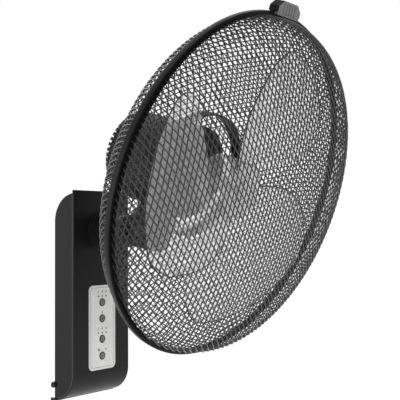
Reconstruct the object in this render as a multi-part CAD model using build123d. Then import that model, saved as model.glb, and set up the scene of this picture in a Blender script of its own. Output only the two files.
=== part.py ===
from build123d import *
import math
import os

os.makedirs("parts", exist_ok=True)

# Wall mounted fan.  Millimetres.  The wall is the plane Y = 0, the room is on the -Y side, +Z is up,
# X = 0 is the fan's plane of symmetry and Z = 0 is midway between the wall plate's two rows of holes.
# The pieces that tilt and swing are drawn in a frame of their own, with x to the right, y up and z
# along the fan's axis towards the room, from the middle of the guard ring's front face.

# ---------------------------------------------------------------- clearances
press_gap = 0.02         # pieces pushed together, in one body
run_gap = 0.06           # a shaft in its bore, on radius
slip_gap = 0.3           # covers, slots and loose seats
thrust_gap = 0.5         # faces that turn over one another

# ---------------------------------------------------------------- wall box
box_width = 107.0
box_top = 139.0
box_bottom = -142.5
box_depth = 37.0
wall_gap = 4.0           # space behind the box for the wall plate
cover_wall = 2.5
shell_wall = 2.2
top_step = 4.0           # the front cover stands above the shell
top_rear_radius = 36.0
bottom_flat = 2.0
cover_edge_radius = 1.2
boss_radius = 4.0
boss_side = 45.0
boss_high = 88.0
boss_low = -100.0
cover_screw_radius = 1.5
cover_screw_length = 20.0
cover_screw_head_radius = 3.2
cover_screw_head_height = 1.8

# ---------------------------------------------------------------- wall plate
plate_half_width = 40.0
plate_top = 118.0
plate_sheet = 1.8
plate_hole_radius = 2.75
plate_hole_side = 30.0
plate_hole_up = 95.0
lip_sheet = 1.2
lip_depth = 8.0
lip_end = 4.0            # the lip's turned-up ends, beside the box
ear_radius = 3.6
ear_up = -123.0
ear_reach = 3.0          # past the box's side
hook_side = 20.0
hook_up = 20.0
hook_width = 10.0
hook_height = 7.0
hook_sheet = 2.0
hook_depth = 4.0         # from the shell's back wall to the hook's lip, inside

# ---------------------------------------------------------------- control panel
panel_width = 51.0
panel_height = 115.0
panel_up = -48.0
panel_sheet = 1.0
panel_recess = 0.5
panel_corner = 7.0
button_ups = {"power": -14.0, "speed": -36.0, "timer": -64.0, "swing": -87.0}
button_radius = 5.4
button_hole_gap = 0.3
button_proud = 0.8
button_flange_radius = 7.0
button_flange = 1.2
button_stem_radius = 1.5
button_travel = 0.8
switch_side = 6.0
switch_height = 4.3
switch_overlap = 1.2     # how far a button's stem stands in its switch
board_sheet = 1.6
control_board_width = 46.0
control_board_height = 110.0
control_board_gap = 9.3  # from the front cover's inside to the board
lamp_radius = 1.2
lamp_pitch = 7.3
lamp_rows = {-5.5: 3, -27.4: 1, -55.5: 3}
timer_lamp_side = 7.0
sensor_side = -6.5
sensor_up = -78.5
sensor_radius = 1.8
lamp_chip = 2.4
lamp_chip_height = 1.1

# ---------------------------------------------------------------- power board
power_board_width = 76.0
power_board_height = 120.0
power_board_up = -33.0
power_board_gap = 5.0
power_post_radius = 3.0
transformer_size = (30.0, 12.0, 32.0)
relay_size = (15.0, 12.0, 10.0)
relay_count = 4
relay_pitch = 18.0
terminal_size = (34.0, 10.0, 12.0)
capacitor_size = (34.0, 11.0, 18.0)
gland_bore = 3.6
gland_radius = 6.0
gland_flange_radius = 9.0
gland_flange = 4.0
gland_depth_place = 15.0  # from the shell's back face to the gland's axis
gland_up = -116.0

# ---------------------------------------------------------------- neck
neck_up = 84.0           # neck axis above the middle of the box
neck_radius = 22.0
neck_wall = 5.0
neck_flange_radius = 32.0
neck_flange = 4.0
neck_bracket_depth = 19.3
neck_bracket_half = 32.0
neck_bracket_top = 28.0
neck_bracket_side_top = 14.0
neck_bracket_sheet = 2.5
neck_bolt_radius = 2.5
neck_bolt_circle = 27.2
neck_bolt_head_radius = 4.2
neck_bolt_head = 3.5
collar_steps = ((27.0, 2.2), (25.4, 2.2), (23.9, 2.6))
pivot_reach = 131.0      # tilt pivot in front of the wall
tongue_length = 33.0     # neck tube's end to the pivot
tongue_half_width = 9.0
tongue_half_height = 20.0
neck_end_round = 5.0

# ---------------------------------------------------------------- tilt knuckle
tilt_angle = 18.5        # the head looks down by this much
head_forward = 118.0     # pivot to the ring's front face, along the fan's axis
head_up = 92.0           # pivot to the fan's axis
knuckle_radius = 27.0
knuckle_drop = 22.0      # below the pivot
knuckle_rise = 36.0      # above the pivot
knuckle_round = 10.0
shoulder_radius = 31.0   # the knuckle's widest place
shoulder_rise = 15.0     # above the pivot
shoulder_top_radius = 21.5
tilt_bolt_radius = 5.0
tilt_head_across = 16.0
tilt_head_height = 6.0
tilt_ear = 9.9           # ear wall either side of the tongue
tilt_recess_radius = 10.5
washer_radius = 15.0
washer_sheet = 1.0
post_radius = 7.0
post_top = -39.5         # all heights below the fan's axis are negative
bush_radius = 10.0
bush_flange_radius = 13.0
bush_flange = 1.4
bush_above = 4.0         # the bush stands this far above the gear case's underside
post_nut_across = 20.0
post_nut_height = 5.0

# ---------------------------------------------------------------- swing drive
gear_module = 4.0 / 3.0
sector_teeth = 36
pinion_teeth = 12
sector_span = 110.0      # degrees of the full wheel that carry teeth
sector_sheet = 5.0
sector_hub_radius = 12.0
pinion_sheet = 5.6
tooth_backlash = 0.35
swing_motor_radius = 15.5
swing_motor_height = 14.0
swing_motor_ear = 1.5
swing_shaft_radius = 2.0
swing_post_side = 20.0
swing_post_radius = 3.5
case_half_width = 28.5
case_front = -92.0
case_rear = -166.0
case_floor = -54.5       # underside, below the fan's axis
case_top = -42.0
case_wall = 2.5
case_round = 14.0

# ---------------------------------------------------------------- motor
motor_front = -79.0
motor_joint = -112.0
motor_rear = -179.0
motor_front_radius = 60.0
motor_joint_radius = 58.0
motor_rear_radius = 55.5
motor_rear_round = 5.0
motor_wall = 2.4
vent_count = 48
vent_width = 2.8
vent_inner_radius = 36.0
vent_depth = 12.0
stator_half = 35.0
stator_front = -88.0
stator_rear = -114.0
stator_bore = 22.5
winding_inner = 24.0
winding_outer = 33.0
winding_overhang = 6.0
rotor_radius = 22.0
shaft_radius = 4.0
shaft_front = 6.0
shaft_rear = -133.0
bearing_radius = 8.0
bearing_length = 10.0
bearing_boss_radius = 15.0
bearing_boss_front = -66.0
bracket_sheet = 3.0
bracket_front = -124.0
motor_bolt_side = 31.0
motor_bolt_radius = 2.0
motor_bolt_head_radius = 3.6
motor_bolt_head = 2.6
rear_screw_side = 16.0
rear_screw_radius = 1.8

# ---------------------------------------------------------------- guard
ring_radius = 215.0
ring_depth = 7.0
ring_wall = 2.0          # round the grilles' rims
ring_lip = 1.2           # before and behind the rims
ring_grip = 2.3          # how far the lips reach over the rims
ring_split = 2.0
rim_sheet = 2.2
mesh_inset = 5.8         # from the ring's outside to the foot of the wires
mesh_sheet = 1.6
mesh_wire = 1.8
mesh_pitch = 27.0        # between the wires of one family, measured square to them
mesh_angles = (140.1, 89.4)
front_wall_height = 2.2
front_arcs = ((39.0, 76.1),)
rear_wall_height = 0.4
rear_arcs = ((36.1, 34.8), (56.8, 31.4))
hoop_radius = 80.0
hoop_sheet = 2.6
hoop_depth = 17.0
hoop_behind = 1.2        # the hoop's rear edge, behind the wires
grille_plate_radius = 60.0
grille_plate_sheet = 2.0
grille_collar = 5.0       # rim round the plate, which the wires run into
grille_nut_radius = 27.0
grille_nut_height = 7.0
grille_nut_lugs = 8
clip_half_width = 23.5
clip_top_half = 15.0
clip_shoulder_rise = 6.0  # heights past the ring's outside
clip_rise = 13.5
clip_lip = 4.6           # how far the clip reaches down the ring's face
clip_front = 6.0
clip_rear = -8.0
clip_groove = 1.2
clip_groove_pitch = 7.0
clip_pin_rise = 3.5
clip_pin_behind = -11.4
clip_pin_radius = 1.5
clip_knuckle_radius = 3.0
clip_knuckle_half = 8.0
clip_ear = 3.0

# ---------------------------------------------------------------- fan blades
hub_radius = 35.0
hub_front = 7.0
hub_rear = -38.0
hub_wall = 2.2
hub_boss_radius = 12.0
hub_boss_rear = -24.0
tip_inset = 40.0         # from the ring's outside to the blades' tips
blade_count = 3
blade_sheet = 1.8
blade_lead = 138.0       # angle of the first blade's leading edge
blade_root_span = 112.0
blade_tip_span = 66.0
lead_root_depth = -36.0
lead_tip_depth = -8.0
trail_root_depth = 5.0
trail_tip_depth = 12.0
trail_crown = 9.0
drive_pin_radius = 1.5
drive_pin_half = 11.0
spinner_radius = 15.0
spinner_height = 5.0
spinner_spigot = 8.8

front_y = -(wall_gap + box_depth)
cover_inner_y = front_y + cover_wall
back_inner_y = -(wall_gap + shell_wall)
half_width = box_width / 2
bottom_radius = box_depth - bottom_flat
pivot = Vector(0, -pivot_reach, neck_up)

level_head = Pos(0, -head_forward, head_up) * Rot(90, 0, 0)
HEAD = Pos(*pivot) * Rot(tilt_angle, 0, 0) * level_head
pan_z = -head_forward
pivot_y = -head_up
knuckle_top = pivot_y + knuckle_rise
pinion_z = pan_z - gear_module * (sector_teeth + pinion_teeth) / 2
slot_front = tongue_half_height + 1
rim_radius = ring_radius - ring_wall - slip_gap
ring_inner = rim_radius - ring_grip
mesh_radius = ring_radius - mesh_inset
tip_radius = ring_radius - tip_inset
clip_bottom = ring_radius - clip_lip
clip_shoulder = ring_radius + clip_shoulder_rise
clip_top = ring_radius + clip_rise
clip_pin_up = ring_radius + clip_pin_rise
through = 2 * ring_radius        # longer than any piece, for cuts that go right through


def save(name, shape):
    """Writes one piece, moved to where it sits on the fan."""
    export_step(shape, f"parts/{name}.step")


def save_head(name, shape):
    save(name, HEAD * shape)


def block(low, high):
    """A box between two corners."""
    size = [b - a for a, b in zip(low, high)]
    middle = [(a + b) / 2 for a, b in zip(low, high)]
    return Pos(*middle) * Box(*size)


def rod(radius, low, high, x=0.0, y=0.0):
    """A cylinder along z between two heights."""
    return Pos(x, y, (low + high) / 2) * Cylinder(radius, high - low)


def tube(outer, inner, low, high):
    return rod(outer, low, high) - rod(inner, low - 1, high + 1)


def along_y(radius, low, high, x=0.0, z=0.0):
    """A cylinder along y between two places."""
    return Pos(x, (low + high) / 2, z) * Rot(90, 0, 0) * Cylinder(radius, high - low)


def along_x(radius, low, high, y=0.0, z=0.0):
    """A cylinder along x between two places."""
    return Pos((low + high) / 2, y, z) * Rot(0, 90, 0) * Cylinder(radius, high - low)


def hexagon(across, low, high):
    """A six-sided bar along z, by its width across flats."""
    bar = extrude(RegularPolygon(across / 2, 6, major_radius=False), high - low)
    return Pos(0, 0, low) * bar


def on_arc(centre, radius, degrees):
    angle = math.radians(degrees)
    return (centre[0] + radius * math.cos(angle), centre[1] + radius * math.sin(angle))


def side_sheet(points_and_arcs, half):
    """A closed outline in (y, z), given as lines and three-point arcs, made 2 * half wide in x."""
    edges = []
    for run in points_and_arcs:
        ends = [Plane.YZ.from_local_coords(p) for p in run]
        edges.append(Line(*ends) if len(run) == 2 else ThreePointArc(*ends))
    return extrude(make_face(edges), half, both=True)


# ================================================================ wall box
def box_outline(inset, front, low):
    """Side outline of the box, inset from its outer faces and closed at the y of its front."""
    back = -wall_gap - inset
    top_centre = (front_y, box_top - top_step - top_rear_radius)
    radius = top_rear_radius - inset
    rise = math.degrees(math.acos((front - front_y) / radius)) if front > front_y else 90.0
    crest = on_arc(top_centre, radius, rise)
    crest = (front, crest[1])
    heel = (back, top_centre[1])
    return [
        ((back, low), (front, low)),
        ((front, low), crest),
        (crest, on_arc(top_centre, radius, rise / 2), heel),
        (heel, (back, low)),
    ]


def bottom_curve(offset):
    """The bottom's outer curve, moved in by offset, from the back to the front."""
    centre = (-wall_gap - bottom_flat, box_bottom + bottom_radius)
    radius = bottom_radius - offset
    return (on_arc(centre, radius, 270), on_arc(centre, radius, 225), on_arc(centre, radius, 180))


def make_rear_shell():
    curve = bottom_curve(cover_wall)
    low_back = (-wall_gap, curve[0][1])
    body = side_sheet(box_outline(0.0, cover_inner_y, box_bottom), half_width)
    under = [
        (low_back, curve[0]),
        curve,
        (curve[2], (curve[2][0], box_bottom - 9)),
        ((curve[2][0], box_bottom - 9), (-wall_gap, box_bottom - 9)),
        ((-wall_gap, box_bottom - 9), low_back),
    ]
    body -= side_sheet(under, half_width + 1)
    body = fillet(body.edges().filter_by_position(Axis.X, half_width - 0.01, half_width + 0.01)
                  .sort_by(Axis.Y)[-1:], cover_edge_radius)
    body = fillet(body.edges().filter_by_position(Axis.X, -half_width - 0.01, -half_width + 0.01)
                  .sort_by(Axis.Y)[-1:], cover_edge_radius)
    hollow = box_outline(shell_wall, front_y - 9, box_bottom - 9)
    body -= side_sheet(hollow, half_width - shell_wall)
    for x, z in cover_boss_places():
        body += along_y(boss_radius, back_inner_y - 2.0, back_inner_y, x, z)
        body -= along_y(cover_screw_radius + slip_gap, back_inner_y - 3, 0, x, z)
    for x in (-hook_side, hook_side):
        reach = hook_width / 2 + 1
        body -= block((x - reach, back_inner_y - 1, hook_up - 1),
                      (x + reach, 0, hook_up + hook_sheet + hook_height + 3))
    for x, z in power_post_places():
        body += along_y(power_post_radius, back_inner_y - power_board_gap, back_inner_y, x, z)
    gland_y = -wall_gap - gland_depth_place
    body -= along_x(gland_radius + press_gap, 0, half_width + 1, gland_y, gland_up)
    return body


def cover_boss_places():
    return [(x, z) for z in (boss_high, boss_low) for x in (-boss_side, boss_side)]


def power_post_places():
    side = power_board_width / 2 - 5
    high = power_board_height / 2 - 5
    return [(x, power_board_up + z) for z in (-high, high) for x in (-side, side)]


def control_post_places():
    side = control_board_width / 2 - 4
    high = control_board_height / 2 - 4
    return [(x, panel_up + z) for z in (-high, high) for x in (-side, side)]


def make_front_cover():
    outer = bottom_curve(0.0)
    inner = bottom_curve(cover_wall)
    outline = [
        ((-wall_gap, box_bottom), outer[0]),
        outer,
        (outer[2], (front_y, box_top)),
        ((front_y, box_top), (cover_inner_y, box_top)),
        ((cover_inner_y, box_top), inner[2]),
        inner[::-1],
        (inner[0], (-wall_gap, inner[0][1])),
        ((-wall_gap, inner[0][1]), (-wall_gap, box_bottom)),
    ]
    body = side_sheet(outline, half_width)
    front_edges = body.edges().filter_by(Axis.Z).filter_by_position(Axis.Y, front_y - 0.01, front_y + 0.01)
    body = fillet(front_edges, cover_edge_radius)
    for x, z in cover_boss_places():
        body += along_y(boss_radius, cover_inner_y, back_inner_y - 2.0, x, z)
        body -= along_y(cover_screw_radius, back_inner_y - cover_screw_length, 0, x, z)
    recess = panel_blank(slip_gap / 2)
    body -= Pos(0, front_y + panel_recess, 0) * recess
    for up in button_ups.values():
        body -= along_y(button_radius + button_hole_gap, front_y - 5, cover_inner_y + 5, 0, up)
    for x, z, radius in window_places():
        body -= along_y(radius + press_gap, front_y - 5, cover_inner_y + 5, x, z)
    for x, z in control_post_places():
        body += along_y(boss_radius - 1, cover_inner_y, cover_inner_y + control_board_gap, x, z)
        body -= along_y(cover_screw_radius - slip_gap, cover_inner_y + 1, cover_inner_y + 20, x, z)
    body -= along_y(neck_radius + slip_gap, front_y - 5, cover_inner_y + 5, 0, neck_up)
    return body


def panel_blank(grow):
    """The panel's plate, its back face at y = 0 and its front towards -y."""
    outline = RectangleRounded(panel_width + 2 * grow, panel_height + 2 * grow, panel_corner + grow)
    return Pos(0, 0, panel_up) * Rot(90, 0, 0) * extrude(outline, panel_sheet + (5 if grow else 0))


def window_places():
    """Every small window in the panel: x, z and radius."""
    places = []
    for up, count in lamp_rows.items():
        for i in range(count):
            places.append(((i - (count - 1) / 2) * lamp_pitch, up, lamp_radius))
    places.append((timer_lamp_side, sensor_up, lamp_radius))
    places.append((sensor_side, sensor_up, sensor_radius))
    return places


def make_control_panel():
    plate = Pos(0, front_y + panel_recess, 0) * panel_blank(0.0)
    for up in button_ups.values():
        plate -= along_y(button_radius + button_hole_gap, front_y - 5, front_y + 5, 0, up)
    for x, z, radius in window_places():
        plate -= along_y(radius + press_gap, front_y - 5, front_y + 5, x, z)
    return plate


panel_face = front_y + panel_recess - panel_sheet
board_face = cover_inner_y + control_board_gap
switch_face = board_face - switch_height


def make_button(up):
    """Cap, retaining flange behind the cover, and the stem that stands in the switch."""
    face = panel_face - button_proud
    cap = along_y(button_radius, face, cover_inner_y, 0, up)
    front_rim = cap.edges().filter_by(GeomType.CIRCLE).sort_by(Axis.Y)[0]
    cap = fillet(front_rim, 0.6)
    seat = cover_inner_y + press_gap
    cap += along_y(button_flange_radius, seat, seat + button_flange, 0, up)
    cap += along_y(button_radius, cover_inner_y - 0.5, seat + button_flange, 0, up)
    cap += along_y(button_stem_radius, seat, switch_face + switch_overlap, 0, up)
    return cap


def make_switches():
    body = []
    for up in button_ups.values():
        side = switch_side / 2
        switch = block((-side, switch_face, up - side), (side, board_face, up + side))
        depth = switch_overlap + button_travel + slip_gap
        switch -= along_y(button_stem_radius + 0.2, switch_face - 1, switch_face + depth, 0, up)
        body.append(switch)
    return Compound(children=body)


def make_windows():
    body = []
    for x, z, radius in window_places():
        body.append(along_y(radius, panel_face - 0.1, board_face - lamp_chip_height, x, z))
    return Compound(children=body)


def make_lamp_chips():
    body = []
    half = lamp_chip / 2
    for x, z, radius in window_places():
        body.append(block((x - half, board_face - lamp_chip_height, z - half), (x + half, board_face, z + half)))
    return Compound(children=body)


def make_control_board():
    side = control_board_width / 2
    high = control_board_height / 2
    board = block((-side, board_face, panel_up - high), (side, board_face + board_sheet, panel_up + high))
    for x, z in control_post_places():
        board -= along_y(cover_screw_radius, board_face - 1, board_face + 5, x, z)
    return board


def make_board_screws():
    body = []
    behind = board_face + board_sheet
    for x, z in control_post_places():
        shank = along_y(cover_screw_radius - slip_gap - press_gap, behind - 7, behind, x, z)
        body.append(shank + along_y(2.4, behind, behind + 1.4, x, z))
    return Compound(children=body)


def make_power_board():
    side = power_board_width / 2
    high = power_board_height / 2
    back = back_inner_y - power_board_gap
    return block((-side, back - board_sheet, power_board_up - high), (side, back, power_board_up + high))


power_face = back_inner_y - power_board_gap - board_sheet


def on_power_board(size, x, z):
    return block((x - size[0] / 2, power_face - size[1], z - size[2] / 2),
                 (x + size[0] / 2, power_face, z + size[2] / 2))


def make_relays():
    first = power_board_up - relay_pitch * (relay_count - 1) / 2
    return Compound(children=[on_power_board(relay_size, 24, first + i * relay_pitch)
                              for i in range(relay_count)])


def make_terminals():
    body = on_power_board(terminal_size, 10, power_board_up - power_board_height / 2 + 12)
    for i in range(3):
        body -= along_y(2.2, power_face - terminal_size[1] - 1, power_face - 4,
                        10 + (i - 1) * 10, power_board_up - power_board_height / 2 + 12)
    return body


def make_cover_screws():
    body = []
    for x, z in cover_boss_places():
        shank = along_y(cover_screw_radius - press_gap, back_inner_y - cover_screw_length + 1, -wall_gap, x, z)
        body.append(shank + along_y(cover_screw_head_radius, -wall_gap, -wall_gap + cover_screw_head_height, x, z))
    return Compound(children=body)


def make_gland():
    """Inlet for the mains lead, in the box's right side."""
    y = -wall_gap - gland_depth_place
    inner = half_width - shell_wall - 5
    outer = half_width + gland_flange
    body = along_x(gland_radius, inner, outer, y, gland_up)
    body += along_x(gland_flange_radius, half_width, outer, y, gland_up)
    body -= along_x(gland_bore, inner - 1, outer + 1, y, gland_up)
    return body


def make_gland_nut():
    y = -wall_gap - gland_depth_place
    inner = half_width - shell_wall
    nut = Pos(inner - 4, y, gland_up) * Rot(0, 90, 0) * hexagon(gland_flange_radius * 1.8, 0, 4)
    return nut - along_x(gland_radius + press_gap, inner - 6, inner + 1, y, gland_up)


def make_wall_plate():
    lip_top = box_bottom - slip_gap
    low = lip_top - lip_sheet
    w = plate_half_width
    plate = block((-w, -plate_sheet, low), (w, 0, plate_top))
    for x in (-w, w - plate_sheet):
        plate += block((x, -wall_gap, box_bottom + 20), (x + plate_sheet, 0, plate_top))
    plate += block((-w, -wall_gap, plate_top - 30), (w, 0, plate_top - 30 + plate_sheet))
    near = half_width + slip_gap
    reach = half_width + ear_reach
    plate += block((-reach, -lip_depth, low), (reach, 0, lip_top))
    plate += block((-near - 1, -plate_sheet, ear_up - ear_radius), (near + 1, 0, ear_up + ear_radius))
    for side in (-1, 1):
        low_x, high_x = sorted((side * near, side * reach))
        plate += block((low_x, -lip_depth, low), (high_x, 0, low + lip_end))
        plate += along_x(ear_radius, low_x, high_x, -ear_radius - 0.2, ear_up)
    for x in (-hook_side, hook_side):
        near, far = x - hook_width / 2, x + hook_width / 2
        tip = back_inner_y - hook_depth
        plate += block((near, tip, hook_up), (far, 0, hook_up + hook_sheet))
        plate += block((near, tip, hook_up), (far, tip + hook_sheet, hook_up + hook_sheet + hook_height))
    for x in (-plate_hole_side, plate_hole_side):
        for z in (-plate_hole_up, plate_hole_up):
            plate -= along_y(plate_hole_radius, -9, 9, x, z)
    return plate


# ================================================================ neck
bracket_face = back_inner_y - neck_bracket_depth
flange_face = bracket_face - neck_flange


def neck_bolt_places():
    side = neck_bolt_circle / math.sqrt(2)
    return [(x, neck_up + z) for z in (-side, side) for x in (-side, side)]


def make_neck_bracket():
    half = neck_bracket_half
    bottom = neck_up - neck_bracket_half
    body = block((-half, bracket_face, bottom), (half, bracket_face + neck_bracket_sheet,
                                                 neck_up + neck_bracket_top))
    for x in (-half, half - neck_bracket_sheet):
        body += block((x, bracket_face, bottom), (x + neck_bracket_sheet, back_inner_y,
                                                  neck_up + neck_bracket_side_top))
    body -= along_y(neck_radius - neck_wall - 5, -through, 0, 0, neck_up)
    for x, z in neck_bolt_places():
        body -= along_y(neck_bolt_radius + press_gap, -through, 0, x, z)
    return body


def make_neck_tube():
    end = -(pivot_reach - tongue_length)
    body = along_y(neck_radius, end, bracket_face, 0, neck_up)
    body = fillet(body.edges().filter_by(GeomType.CIRCLE).sort_by(Axis.Y)[0], neck_end_round)
    body += along_y(neck_flange_radius, flange_face, bracket_face, 0, neck_up)
    body -= along_y(neck_radius - neck_wall, end + 7, 0, 0, neck_up)
    w = tongue_half_width
    h = tongue_half_height
    body += block((-w, -pivot_reach, neck_up - h), (w, end + 5, neck_up + h))
    body += along_x(h, -w, w, -pivot_reach, neck_up)
    body -= along_x(tilt_bolt_radius + run_gap, -w - 1, w + 1, -pivot_reach, neck_up)
    for x, z in neck_bolt_places():
        body -= along_y(neck_bolt_radius + press_gap, flange_face - 1, 0, x, z)
    return body


def make_neck_bolts():
    body = []
    for x, z in neck_bolt_places():
        shank = along_y(neck_bolt_radius, flange_face, bracket_face + neck_bracket_sheet + 2, x, z)
        body.append(shank + along_y(neck_bolt_head_radius, flange_face - neck_bolt_head, flange_face, x, z))
    return Compound(children=body)


def make_collar():
    body = Part()
    face = front_y
    for radius, step in collar_steps:
        ring = along_y(radius, face - step, face, 0, neck_up)
        body += fillet(ring.edges().filter_by(GeomType.CIRCLE).sort_by(Axis.Y)[0], 0.6)
        face -= step
    return body - along_y(neck_radius + slip_gap / 2, -through, 0, 0, neck_up)


# ================================================================ tilt knuckle
def make_knuckle():
    bottom = pivot_y - knuckle_drop
    shoulder = pivot_y + shoulder_rise
    outline = make_face(Polyline((0, bottom), (knuckle_radius, bottom), (knuckle_radius, pivot_y),
                                 (shoulder_radius, shoulder), (shoulder_top_radius, knuckle_top),
                                 (0, knuckle_top), close=True))
    body = Pos(0, 0, pan_z) * revolve(outline, Axis.Y)
    body = fillet(body.edges().filter_by(GeomType.CIRCLE).sort_by(Axis.Y)[0], knuckle_round)
    body = fillet(body.edges().filter_by(GeomType.CIRCLE).filter_by_position(Axis.Y, shoulder - 0.1, shoulder + 0.1), 3)
    half = tongue_half_width + washer_sheet + 2 * slip_gap / 3
    top = pivot_y + tongue_half_height + slip_gap
    body -= block((-half, bottom - 1, pan_z - through), (half, top, pan_z + slot_front))
    ear = half + tilt_ear
    for side in (-1, 1):
        recess = along_x(tilt_recess_radius, ear, through, pivot_y, pan_z)
        body -= recess if side > 0 else mirror(recess, Plane.YZ)
    body -= along_x(tilt_bolt_radius + press_gap, -through, through, pivot_y, pan_z)
    body -= along_y(post_radius + press_gap, top - 1, 0, 0, pan_z)
    return body


tilt_ear_face = tongue_half_width + washer_sheet + 2 * slip_gap / 3 + tilt_ear


def make_tilt_bolt():
    body = along_x(tilt_bolt_radius, -tilt_ear_face, tilt_ear_face + 7, pivot_y, pan_z)
    head = Pos(-tilt_ear_face, pivot_y, pan_z) * Rot(0, -90, 0) * hexagon(tilt_head_across, 0, tilt_head_height)
    return body + head


def make_tilt_nut():
    nut = Pos(tilt_ear_face, pivot_y, pan_z) * Rot(0, 90, 0) * hexagon(tilt_head_across, 0, 5)
    return nut - along_x(tilt_bolt_radius + press_gap, 0, through, pivot_y, pan_z)


def make_tilt_washers():
    body = []
    for side in (-1, 1):
        near = tongue_half_width + slip_gap / 3
        disc = along_x(washer_radius, near, near + washer_sheet, pivot_y, pan_z)
        disc -= along_x(tilt_bolt_radius + slip_gap, 0, through, pivot_y, pan_z)
        body.append(disc if side > 0 else mirror(disc, Plane.YZ))
    return Compound(children=body)


def make_pan_post():
    bottom = pivot_y + tongue_half_height + slip_gap
    return along_y(post_radius, bottom, post_top, 0, pan_z)


bush_bottom = case_floor - bush_flange
bush_top = case_floor + bush_above
sector_low = bush_top + thrust_gap
sector_high = sector_low + sector_sheet


def make_pan_bush():
    body = along_y(bush_radius, bush_bottom, bush_top, 0, pan_z)
    body += along_y(bush_flange_radius, bush_bottom, case_floor, 0, pan_z)
    return body - along_y(post_radius + run_gap, -through, 0, 0, pan_z)


def make_post_nut():
    nut = Pos(0, sector_high, pan_z) * Rot(-90, 0, 0) * hexagon(post_nut_across, 0, post_nut_height)
    return nut - along_y(post_radius + press_gap, -through, 0, 0, pan_z)


# ================================================================ swing drive
def tooth(pitch_radius, turn):
    """One straight-sided tooth on a wheel drawn about the origin, with its root inside the wheel."""
    half = math.pi * gear_module / 4 - tooth_backlash / 2
    tip = pitch_radius + 0.8 * gear_module
    root = pitch_radius - 1.5 * gear_module
    lean = math.tan(math.radians(20))
    wide = half + (pitch_radius - root) * lean
    thin = half - (tip - pitch_radius) * lean
    shape = make_face(Polyline((root, -wide), (tip, -thin), (tip, thin), (root, wide), close=True))
    return Rot(0, 0, turn) * shape


def make_sector():
    """Part wheel, fixed to the pan post; the swing motor's pinion rolls round it."""
    pitch_radius = gear_module * sector_teeth / 2
    step = 360 / sector_teeth
    count = int(sector_span / step) // 2
    root = pitch_radius - 1.05 * gear_module
    half = math.radians(sector_span / 2 + step / 2)
    rim = [(root * math.cos(half * k), root * math.sin(half * k)) for k in (-1, 0, 1)]
    outline = make_face([Line((0, 0), rim[0]), ThreePointArc(*rim), Line(rim[2], (0, 0))])
    outline += Circle(sector_hub_radius)
    outline += [tooth(pitch_radius, step * i) for i in range(-count, count + 1)]
    outline -= Circle(post_radius + press_gap)
    wheel = extrude(outline, sector_sheet)
    return Pos(0, sector_low, pan_z) * Rot(-90, 0, 0) * Rot(0, 0, 90) * wheel


def make_pinion():
    pitch_radius = gear_module * pinion_teeth / 2
    step = 360 / pinion_teeth
    outline = Circle(pitch_radius - 1.05 * gear_module)
    outline += [tooth(pitch_radius, step * (i + 0.5)) for i in range(pinion_teeth)]
    wheel = extrude(outline, pinion_sheet)
    low = sector_low - (pinion_sheet - sector_sheet) / 2
    body = Pos(0, low, pinion_z) * Rot(-90, 0, 0) * Rot(0, 0, -90) * wheel
    return body + along_y(swing_shaft_radius, low, swing_motor_low + 6, 0, pinion_z)


swing_motor_low = sector_high + 6.0


def make_swing_motor():
    can = along_y(swing_motor_radius, swing_motor_low, swing_motor_low + swing_motor_height, 0, pinion_z)
    reach = swing_post_side + swing_post_radius
    ear = block((-reach, swing_motor_low, pinion_z - swing_post_radius),
                (reach, swing_motor_low + swing_motor_ear, pinion_z + swing_post_radius))
    body = can + ear
    body -= along_y(swing_shaft_radius + run_gap, swing_motor_low - 1, swing_motor_low + 7, 0, pinion_z)
    for x in (-swing_post_side, swing_post_side):
        body -= along_y(cover_screw_radius, -through, 0, x, pinion_z)
    return body


def make_swing_motor_screws():
    body = []
    top = swing_motor_low + swing_motor_ear
    for x in (-swing_post_side, swing_post_side):
        shank = along_y(cover_screw_radius - press_gap, top - 7, top, x, pinion_z)
        body.append(shank + along_y(2.8, top, top + 1.6, x, pinion_z))
    return Compound(children=body)


def make_gear_case():
    """Tray that turns on the pan post, with the swing motor's two posts."""
    w = case_half_width
    body = block((-w, case_floor, case_rear), (w, case_top, case_front))
    body = fillet(body.edges().filter_by(Axis.Y), case_round)
    body = fillet(body.edges().filter_by_position(Axis.Y, case_floor - 0.01, case_floor + 0.01), case_wall)
    inner = block((-w + case_wall, case_floor + case_wall, case_rear + case_wall),
                  (w - case_wall, case_top + 9, case_front - case_wall))
    inner = fillet(inner.edges().filter_by(Axis.Y), case_round - case_wall)
    body -= inner
    body += along_y(bush_flange_radius, case_floor, bush_top, 0, pan_z)
    body -= along_y(bush_radius + press_gap, -through, 0, 0, pan_z)
    for x in (-swing_post_side, swing_post_side):
        body += along_y(swing_post_radius, case_floor + 1, swing_motor_low, x, pinion_z)
        body -= along_y(cover_screw_radius, swing_motor_low - 8, 0, x, pinion_z)
    return body


# ================================================================ motor
def case_opening():
    gap = slip_gap
    w = case_half_width + gap
    opening = block((-w, case_floor - 9, case_rear - gap), (w, case_top + 14, case_front + gap))
    return fillet(opening.edges().filter_by(Axis.Y), case_round + gap)


def make_front_shell():
    body = Pos(0, 0, motor_joint) * Cone(motor_joint_radius, motor_front_radius, motor_front - motor_joint,
                                        align=(Align.CENTER, Align.CENTER, Align.MIN))
    body = fillet(body.edges().filter_by(GeomType.CIRCLE).sort_by(Axis.Z)[-1], 2.0)
    body -= rod(motor_joint_radius - motor_wall, motor_joint - 1, motor_front - motor_wall)
    body += rod(bearing_boss_radius, motor_front - motor_wall - 6, bearing_boss_front)
    body -= rod(bearing_radius + press_gap, motor_front - motor_wall - 7, bearing_boss_front - 2)
    body -= rod(shaft_radius + 1.5, -through, 0)
    for x, y in motor_bolt_places():
        body += rod(motor_bolt_radius + 3, stator_front, motor_front - 1, x, y)
        body -= rod(motor_bolt_radius + press_gap, stator_front - 1, motor_front - 1, x, y)
    return body - case_opening()


def motor_bolt_places():
    side = motor_bolt_side
    return [(x, y) for y in (-side, side) for x in (-side, side)]


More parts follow.
